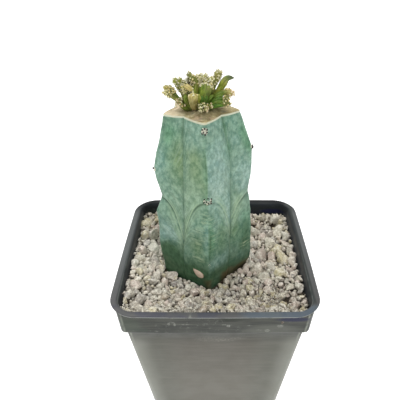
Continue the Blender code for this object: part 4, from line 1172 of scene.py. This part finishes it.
# Kind, girth at the middle, brightness of the skin, how tan it is, tone of the wool, and the way from tip to
# root, with heights above the cut
TUBERCLES = (
    ("tufted", 0.8, 0.9, 0.5, 0.5,
     (-15.8, 1, 7.6), (-14.4, 0.6, 7), (-12.7, 0.3, 5.2), (-10.7, 0.2, 3.2), (-8.6, 0.3, 1.1)),
    ("headed", 0.62, 0.3, 0.3, 0.45,
     (-15.9, -0.6, 6.4), (-14.2, -0.8, 5.8), (-12.5, -0.7, 4.5), (-10.6, -0.4, 2.7), (-8.5, -0.2, 1)),
    ("headed", 0.6, 0.1, 0, 0.6,
     (-14, 0.2, 8), (-13.1, 0, 6.5), (-11.6, 0, 4.3), (-9.8, 0.1, 2.1), (-8.3, 0.2, 0.9)),
    ("tufted", 0.78, 1, 0, 0.1,
     (-12.9, 3, 9.5), (-11.7, 2.6, 8.1), (-10.5, 2, 5.9), (-9.4, 1.5, 3.6), (-7.8, 0.9, 1.1)),
    ("tufted", 0.66, 0.9, 0, 0.15,
     (-11, 2.4, 9.9), (-10.6, 2, 8.3), (-9.9, 1.6, 6.2), (-8.9, 1.2, 3.9), (-7.6, 0.8, 1.2)),
    ("headed", 0.62, 0.4, 0, 0.3,
     (-9.6, 2, 9.1), (-9.4, 1.6, 7.5), (-9.1, 1.2, 5.5), (-8.3, 0.9, 3.6), (-7.3, 0.6, 1.5)),
    ("tufted", 0.74, 0.35, 0.2, 0.05,
     (-8.2, 4.5, 11.2), (-7.8, 4, 9.6), (-7.2, 3.2, 7.5), (-6.7, 2.4, 4.7), (-6, 1.4, 0.9)),
    ("spiky", 0.55, 0, 0, 0.1,
     (-8.9, 3.4, 9.1), (-8.1, 2.8, 8), (-7.4, 2, 6.1), (-6.6, 1.2, 3.5), (-6, 0.8, 0.9)),
    ("headed", 1.05, 0.62, 0, 0.6,
     (-6.6, 1.2, 10.9), (-6.2, 0.6, 9.2), (-6.1, -0.1, 7.2), (-6.1, -0.4, 4.7), (-5.9, 0, 1.5)),
    ("woolly", 0.72, 1, 0.35, 0.16, (-4.6, 5.2, 10.4), (-4.5, 4.6, 8.8), (-4.4, 3.6, 6.7), (-4.2, 2, 3)),
    ("woolly", 0.72, 1, 0.35, 0.16, (-3, 5.6, 10.2), (-3.1, 5, 8.7), (-3.3, 3.8, 6.6), (-3.8, 2, 3)),
    ("woolly", 0.6, 1, 0.4, 0.24, (-5.6, 3.8, 10.3), (-5.4, 3.2, 8.6), (-5.2, 2.4, 6.4), (-5, 1.4, 2.8)),
    ("headed", 1, 0.9, 0.3, 0.1, (-3, 2.8, 9.2), (-3.1, 2.4, 7.5), (-3.3, 1.8, 5.3), (-3.8, 0.8, 2.1)),
    ("woolly", 0.74, 0.8, 0.3, 0.24, (-1.2, 3.4, 9.9), (-1.6, 2.9, 8.2), (-2.2, 2.2, 6.3), (-3.1, 1.2, 2.8)),
    ("broad", 1.8, 0.27, 0.3, 0.25, (-3, 0.6, 8.5), (-3.1, -0.4, 7.2), (-3.4, -0.8, 5.5), (-4, -0.3, 2)),
    ("smooth", 0.85, 0, 0, 0.3, (-3.9, -2.6, 5.9), (-4.2, -2.6, 4.5), (-4.6, -2, 3), (-5, -1.2, 1.4)),
    ("broad", 1, 0.12, 0.25, 0.35, (-1.4, 1.2, 8.2), (-1.8, 0.8, 6.9), (-2.4, 0.4, 5), (-3.3, 0.2, 2.1)),
    ("tufted", 0.78, 0.3, 0.35, 0.3,
     (1, 4, 11.9), (0.5, 3.5, 9.9), (-0.1, 3, 8.1), (-0.9, 2.3, 5.8), (-2.5, 1.4, 2.5)),
    ("headed", 0.52, 0.4, 0.3, 0.3,
     (1.9, 4.6, 11.3), (1.1, 4, 9.8), (0.1, 3.4, 8), (-0.9, 2.6, 5.7), (-2.4, 1.6, 2.5)),
    ("bare", 1.18, 0.66, 0, 0,
     (5.9, 2.5, 10), (3.8, 2.6, 9.8), (2.4, 2.5, 7.9), (0.9, 2.2, 5.6), (-2, 1.4, 2.5)),
    ("peach", 0.76, 0.2, 0.1, 0.64,
     (5.8, 0, 5.8), (3.9, 0.2, 6.1), (1.9, 0.3, 5.6), (-0.3, 0.3, 4.4), (-2.9, 0.2, 2.1)),
    ("peach", 0.6, 0.2, 0.1, 0.62,
     (4.6, 0.8, 6.7), (3.2, 0.8, 6.4), (1.6, 0.7, 5.7), (-0.4, 0.6, 4.5), (-2.9, 0.5, 2.2)),
    ("smooth", 0.62, 1, 0.1, 0.3, (2.7, 3, 6.2), (1.2, 2.5, 5.2), (-0.5, 2, 4.2), (-2.5, 1.2, 2.4)),
    ("tipped", 0.7, 0.3, 0.1, 0.58, (4.4, -1.2, 5), (2.6, -1.3, 4.6), (0.6, -1.2, 3.5), (-2.2, -0.8, 2)),
    ("tipped", 0.7, 0.1, 0, 0.64, (4.7, -3, 3.7), (2.6, -2.8, 3.4), (0.6, -2.3, 2.9), (-2.2, -1.4, 1.7)),
    ("tipped", 0.6, 0.2, 0, 0.55, (4, -2.2, 4.4), (2.3, -2.1, 4), (0.4, -1.8, 3.2), (-2.2, -1.2, 1.9)),
    ("smooth", 0.62, 0.08, 0, 0.3, (2.5, -0.6, 5.5), (1, -0.9, 4.9), (-0.7, -1.1, 3.8), (-2.9, -0.8, 2.2)),
    ("smooth", 0.62, 0, 0, 0.3, (2.6, -1.8, 5), (1, -2, 4.6), (-0.9, -1.8, 3.4), (-3.1, -1, 1.8)),
    ("smooth", 0.62, 0.15, 0, 0.3, (2.7, -2.6, 4.1), (1, -2.8, 4), (-0.9, -2.4, 3.1), (-3.1, -1.2, 1.7)),
    ("smooth", 0.62, 0, 0, 0.3, (2.5, -3.6, 3.1), (0.7, -3.6, 3.2), (-1.1, -2.9, 2.5), (-3.1, -1.5, 1.4)),
    ("smooth", 0.7, 0.1, 0, 0.3, (-0.5, -0.8, 5.6), (-1.6, -1.4, 4.8), (-2.6, -1.4, 3.5), (-3.7, -0.8, 1.7)),
    ("smooth", 0.8, 0.02, 0, 0.3, (-2.5, -2, 6), (-3, -2.4, 4.7), (-3.7, -1.9, 3.1), (-4.4, -0.9, 1.6)),
    ("tuft", 0.46, 0.3, 0, 0.3, (-4.4, -6.6, 3.8), (-4.3, -5.2, 3.6), (-4.1, -3.2, 2.6)),
    ("tuft", 0.44, 0.3, 0, 0.35, (-4.3, -7.2, 3.1), (-4.2, -5.6, 2.8), (-4, -3.4, 2.2)),
    ("tuft", 0.46, 0.3, 0, 0.4, (-3.2, -6.2, 4), (-3.4, -5, 3.7), (-3.8, -3, 2.5)),
    ("tuft", 0.54, 0.3, 0.2, 0.85, (-2.6, -7.4, 3.3), (-2.9, -5.8, 2.9), (-3.6, -3.4, 2.2)),
    ("tuft", 0.52, 0.3, 0.1, 0.72, (-1.2, -5.8, 3.9), (-1.8, -4.6, 3.4), (-3, -2.8, 2.2)),
    ("tipped", 0.7, 0.2, 0.1, 0.98, (-11.7, -2.3, 4.5), (-10.9, -2, 3.5), (-9.8, -1.3, 2.1), (-8.5, -0.6, 1)),
    ("tuft", 0.62, 0.2, 0.1, 0.98, (-10.6, -4, 3.7), (-10, -3.3, 3.1), (-9, -2.2, 2), (-8, -1.2, 1.2)),
    ("tuft", 0.56, 0.9, 0, 0.3, (-10.4, -1, 4.7), (-9.9, -0.9, 3.6), (-9.1, -0.7, 2.2), (-8.3, -0.4, 1.1)),
    ("tufted", 0.5, 0.6, 0, 0.45, (-9.6, -0.8, 8.7), (-9.5, -0.9, 7.7), (-9.1, -0.8, 5.7), (-8.3, -0.4, 2.5)),
    ("bean", 0.86, 0.3, 0.9, 0.35,
     (-6.9, -3.4, 7.9), (-7.8, -3, 8.5), (-8.7, -1.8, 8.5), (-8.8, -0.4, 7), (-8.4, 0.6, 3.9)),
    ("finger", 1.52, 0.1, 0.85, 0.3,
     (-6.6, -5.2, 7.3), (-6.6, -5.1, 6.1), (-6.6, -4.6, 4.4), (-6.5, -3.6, 2.5)),
    ("smooth", 0.85, 0.25, 0.1, 0.3, (-9.3, -2, 5), (-9, -1.9, 3.8), (-8.4, -1.4, 2.3), (-7.4, -0.8, 1.1)),
    ("smooth", 0.85, 0.2, 0.1, 0.3, (-9.1, -1.4, 6.3), (-9.1, -1.6, 4.9), (-8.7, -1.3, 3), (-7.8, -0.8, 1.1)),
    ("smooth", 0.7, 0.8, 0.1, 0.3, (-4.9, -3, 6.6), (-5, -3, 4.9), (-5.1, -2.4, 3.2), (-5.2, -1.4, 1.5)),
)

# Shares of the way from root to tip, with the girth there
SHAPES = {
    "tufted": ((0, 1.0), (0.45, 0.85), (0.7, 1.0), (0.86, 1.3), (0.95, 1.1), (1.0, 0.6)),
    "headed": ((0, 1.0), (0.5, 0.95), (0.8, 1.1), (0.93, 1.1), (1.0, 0.7)),
    "spiky": ((0, 1.0), (0.6, 1.0), (0.9, 0.8), (1.0, 0.4)),
    "tuft": ((0, 1.0), (0.5, 1.0), (0.85, 1.2), (0.95, 1.0), (1.0, 0.55)),
    "peach": ((0, 1.3), (0.4, 1.2), (0.72, 0.95), (0.88, 1.15), (0.96, 0.95), (1.0, 0.5)),
    "tipped": ((0, 1.3), (0.4, 1.2), (0.8, 1.0), (0.93, 1.1), (1.0, 0.6)),
    "broad": ((0, 1.0), (0.4, 1.0), (0.75, 1.08), (0.9, 0.96), (0.97, 0.7), (1.0, 0.3)),
    "smooth": ((0, 1.0), (0.5, 1.0), (0.8, 0.9), (0.93, 0.65), (1.0, 0.3)),
    "bare": ((0, 0.9), (0.3, 0.82), (0.48, 0.94), (0.66, 1.04), (0.82, 0.82), (0.94, 0.45), (1.0, 0.12)),
    "bean": ((0, 0.6), (0.5, 0.75), (0.74, 1.0), (0.88, 1.02), (0.96, 0.75), (1.0, 0.3)),
    "finger": ((0, 0.6), (0.3, 0.8), (0.6, 0.95), (0.82, 1.02), (0.93, 0.98), (0.98, 0.75), (1.0, 0.4)),
}
SHAPES["woolly"] = SHAPES["tufted"]

# Areoles on each kind, the share of its length that they cover, the length of their spines, the darkening at
# the tip, and the size of the lumps of wool
AREOLES_ON = {
    "tufted": (26, 0.42, 0.55, 0.45, 1), "woolly": (44, 0.55, 0.5, 0.0, 1.3),
    "headed": (20, 0.28, 0.55, 0.8, 1), "spiky": (8, 0.4, 0.9, 0.3, 1), "tuft": (6, 0.3, 0.45, 0.8, 0.9),
    "tipped": (9, 0.24, 0.45, 0.9, 0.9), "peach": (16, 0.13, 0.4, 0.2, 1.3),
    "broad": (18, 0.13, 0.45, 0.0, 1), "smooth": (0, 0, 0, 0.0, 1), "bare": (0, 0, 0, 0.0, 1),
    "bean": (3, 0.05, 0.3, 0.0, 1), "finger": (6, 0.08, 0.35, 0.0, 1),
}

# Azimuth, reach and rise of the tubercles on the far side
REAR = (
    (22, 6.4, 3.2), (42, 7.4, 2.8), (58, 6.0, 4.4), (74, 7.6, 3.8), (88, 6.0, 5.4), (100, 8.0, 3.9),
    (114, 6.4, 4.9), (128, 7.2, 2.8), (148, 5.6, 1.6), (170, 5.6, 1.4),
)


def make_scion(rng, wool, spines):
    skin = Batch("tip", "tan", "bright", "angle", "crowned", "dusk")
    tufts = Batch("tone")
    needles = Batch("tone", "tip")
    arms = [(*row[:5], np.array(row[5:]) + [0, 0, CUT_Z]) for row in TUBERCLES]
    for azimuth, reach, rise in REAR:
        turn = math.radians(azimuth + rng.uniform(-4, 4))
        out = np.array([math.cos(turn), math.sin(turn), 0])
        middle = SCION + out * (reach * 0.6 + 0.4) + [0, 0, rise * 0.55 + 0.9]
        way = np.array([SCION + out * reach + [0, 0, rise + 1.2], middle, SCION + out * 1.5 + [0, 0, 1.6]])
        girth, bright, tan, tone = rng.uniform(0.75, 0.9), rng.random(), rng.random() * 0.3, rng.random() * 0.6
        arms.append(("tufted" if rise > 2 else "tuft", girth, bright, tan, tone, way))
    ball, ball_faces = SPHERES[4]
    core = ball * [4.4, 3.0, 2.8] * (1 + 0.08 * noise(ball, 0.4, 50))[:, None] + SCION + [0, 0, 0.4]
    core[:, 2] = np.maximum(core[:, 2], SCION[2] - 0.25)
    skin.add(core, triangles=ball_faces, tip=0.05, tan=0.2, bright=0.1, angle=0, crowned=0, dusk=0)
    ball, ball_faces = SPHERES[2]
    t = np.linspace(0, 1, ARM_STEPS)
    along = np.append(np.repeat(t, ARM_SIDES), [0, 1])
    around = np.append(np.tile(np.abs(np.arange(ARM_SIDES) - ARM_SIDES // 2) * 0.35, ARM_STEPS), [0, 0])
    for kind, girth, bright, tan, tone, way in arms:
        amount, cover, reach, crowned, wool_size = AREOLES_ON[kind]
        path = curve_through(way[::-1], ARM_STEPS)
        radii = girth * smooth(SHAPES[kind], t, 0.02)
        body, quads, ends = tube(path, radii, ARM_SIDES)
        middle = np.concatenate([np.repeat(path, ARM_SIDES, axis=0), path[:1], path[-1:]])
        rough = 0.4 if kind in ("bean", "finger", "broad", "bare") else 1.0
        lumps = 0.16 * noise(body, 1.1, 51) + 0.1 * noise(body, 0.45, 52)
        body = middle + (body - middle) * (1 + rough * lumps)[:, None]
        shown, dusk = along, 0
        if kind == "spiky":
            dusk = 0.7
        elif kind == "bean":
            shown, tan = 0.4 + 0.6 * along, 0.9 * ease(0.4, 0.7, along)
        elif kind == "finger":
            shown = along - 0.05
        elif kind == "peach":
            tan = 0.62 * ease(0.66, 0.86, along)
        elif kind == "broad":
            right = ease(-3.4, -2.0, body[:, 0] + 0.5 * noise(body, 1.5, 53))
            tan, bright = tan * right, bright * (1 - 0.8 * right)
        elif kind == "bare":
            bright = bright - 0.66 * ease(0.74, 0.86, along)
            dusk = 0.4 * gauss(along, 0.76, 0.06) + 0.45 * ease(0.8, 0.9, along)
        looks = {"tip": shown, "tan": tan, "bright": bright, "crowned": crowned, "dusk": dusk}
        skin.add(body, quads, ends, angle=around + 9 * rng.random(), **looks)
        axis, side, other = frames_along(path)
        for number in range(amount):
            share = 1 - cover * (number / (amount - 1)) ** 0.85
            place = int(share * (ARM_STEPS - 1) + 0.5)
            angle = number * GOLDEN_TURN + rng.uniform(-0.3, 0.3)
            fan = side[place] * math.cos(angle) + other[place] * math.sin(angle)
            crown = ease(0.86, 1.0, share)
            spread = radii[place] * (1 - 0.25 * crown) * (number > 0)
            spot = path[place] + fan * spread + axis[place] * 0.15 * crown
            out = unit(fan * (1.05 - 0.7 * crown) + axis[place] * (0.25 + crown))
            for _ in range(2):
                grain = 1 + 0.3 * rng.uniform(-1, 1, (len(ball), 1)) ** 3
                lump = ball * grain * rng.uniform(0.16, 0.28) * wool_size
                hue = np.clip(tone + rng.uniform(-0.15, 0.15), 0, 1)
                tufts.add(spot + rng.uniform(-0.18, 0.18, 3) + lump, triangles=ball_faces, tone=hue)
            across = unit(np.cross(out, [0.3, 0.5, 0.81]))
            upward = np.cross(out, across)
            for needle in range(RAYS + 1):
                turn = needle * TAU / RAYS + rng.uniform(-0.3, 0.3)
                ray = across * math.cos(turn) + upward * math.sin(turn)
                central = needle == RAYS
                aim = unit(out * (2.0 if central else rng.uniform(0.25, 0.8)) + ray)
                length = reach * rng.uniform(0.75, 1.2)
                root = spot + out * 0.1
                often = 0.15 if kind == "woolly" else 0.6
                dark = central and rng.random() < often or rng.random() < 0.06
                add_spine(needles, root, aim, 0.6, out * 0.2, length, NEEDLE, NEEDLE_SIDES, float(dark))
    piece = skin.piece("scion_tubercles", tubercle_material(), "scion")
    tufts.piece("scion_wool", wool, "scion")
    needles.piece("scion_spines", spines, "scion")
    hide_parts("scion")


# Camera, floor and light, in metres. The camera is fitted to the outline of the pot's lip and collar.
CAMERA_AT = (0.0, -0.1316, 0.1838)
CAMERA_DOWN = 31.94
LENS = 38.85
LENS_SHIFT = -0.0376
FLOOR_HALF = 4.0
LIGHTS_AIM = (0, 0, 0.09)
# Name, place, size and power
LIGHTS = (
    ("key", (0.2, -0.35, 0.75), 0.5, 2.2), ("top", (-0.2, 0.25, 0.9), 0.8, 4.8),
    ("fill", (-0.6, -0.3, 0.45), 0.6, 0.7),
)


def make_stage():
    scene = bpy.context.scene
    lens = bpy.data.cameras.new("camera")
    lens.sensor_width = 36.0
    lens.lens = LENS
    lens.shift_x = LENS_SHIFT
    lens.clip_start = 0.005
    camera = stand("camera", lens)
    camera.location = CAMERA_AT
    camera.rotation_euler = (math.radians(90 - CAMERA_DOWN), 0, 0)
    scene.camera = camera
    s = Shader("floor_white")
    body = bmesh.new()
    bmesh.ops.create_grid(body, x_segments=8, y_segments=8, size=FLOOR_HALF)
    floor = stand_body("floor", body)
    floor.location.z = -0.0002
    floor.data.materials.append(s.finished(
        Base_Color=s.mix(s.noise(40, 2), (216, 216, 216), (224, 224, 224)), Roughness=0.9,
        Emission_Color=(1, 1, 1, 1), Emission_Strength=0.8,
    ))
    world = Shader("studio", "worlds")
    toward = world.node("ShaderNodeTexCoord", output="Generated")
    up = world.node("ShaderNodeSeparateXYZ", {0: toward}, "Z")
    bright = world.band(up, 0.12, 0.5, 1.0, 0.42)
    world.feed(world.tree.nodes["Background"], {"Color": (1.0, 1.0, 1.0, 1.0), "Strength": bright})
    scene.world = world.owner
    for name, spot, size, power in LIGHTS:
        light = bpy.data.lights.new(name, "AREA")
        light.shape = "DISK"
        light.size = size
        light.energy = power
        lamp = stand(name, light)
        lamp.location = spot
        lamp.rotation_euler = (Vector(LIGHTS_AIM) - Vector(spot)).to_track_quat("-Z", "Y").to_euler()
    scene.view_settings.view_transform = "Standard"
    scene.view_settings.look = "None"


make_stage()
make_pot()
rng = np.random.default_rng(SEED)
stem = make_stem(stem_material())
make_callus()
wool, spines = wool_material(), spine_material()
make_areoles(rng, wool, spines)
make_scar(*stem)
ground_ring = stem[0][np.argmin(np.abs(STEM_LEVELS + 1.0))]
make_bed()
make_stones(rng, ground_ring)
make_scion(rng, wool, spines)
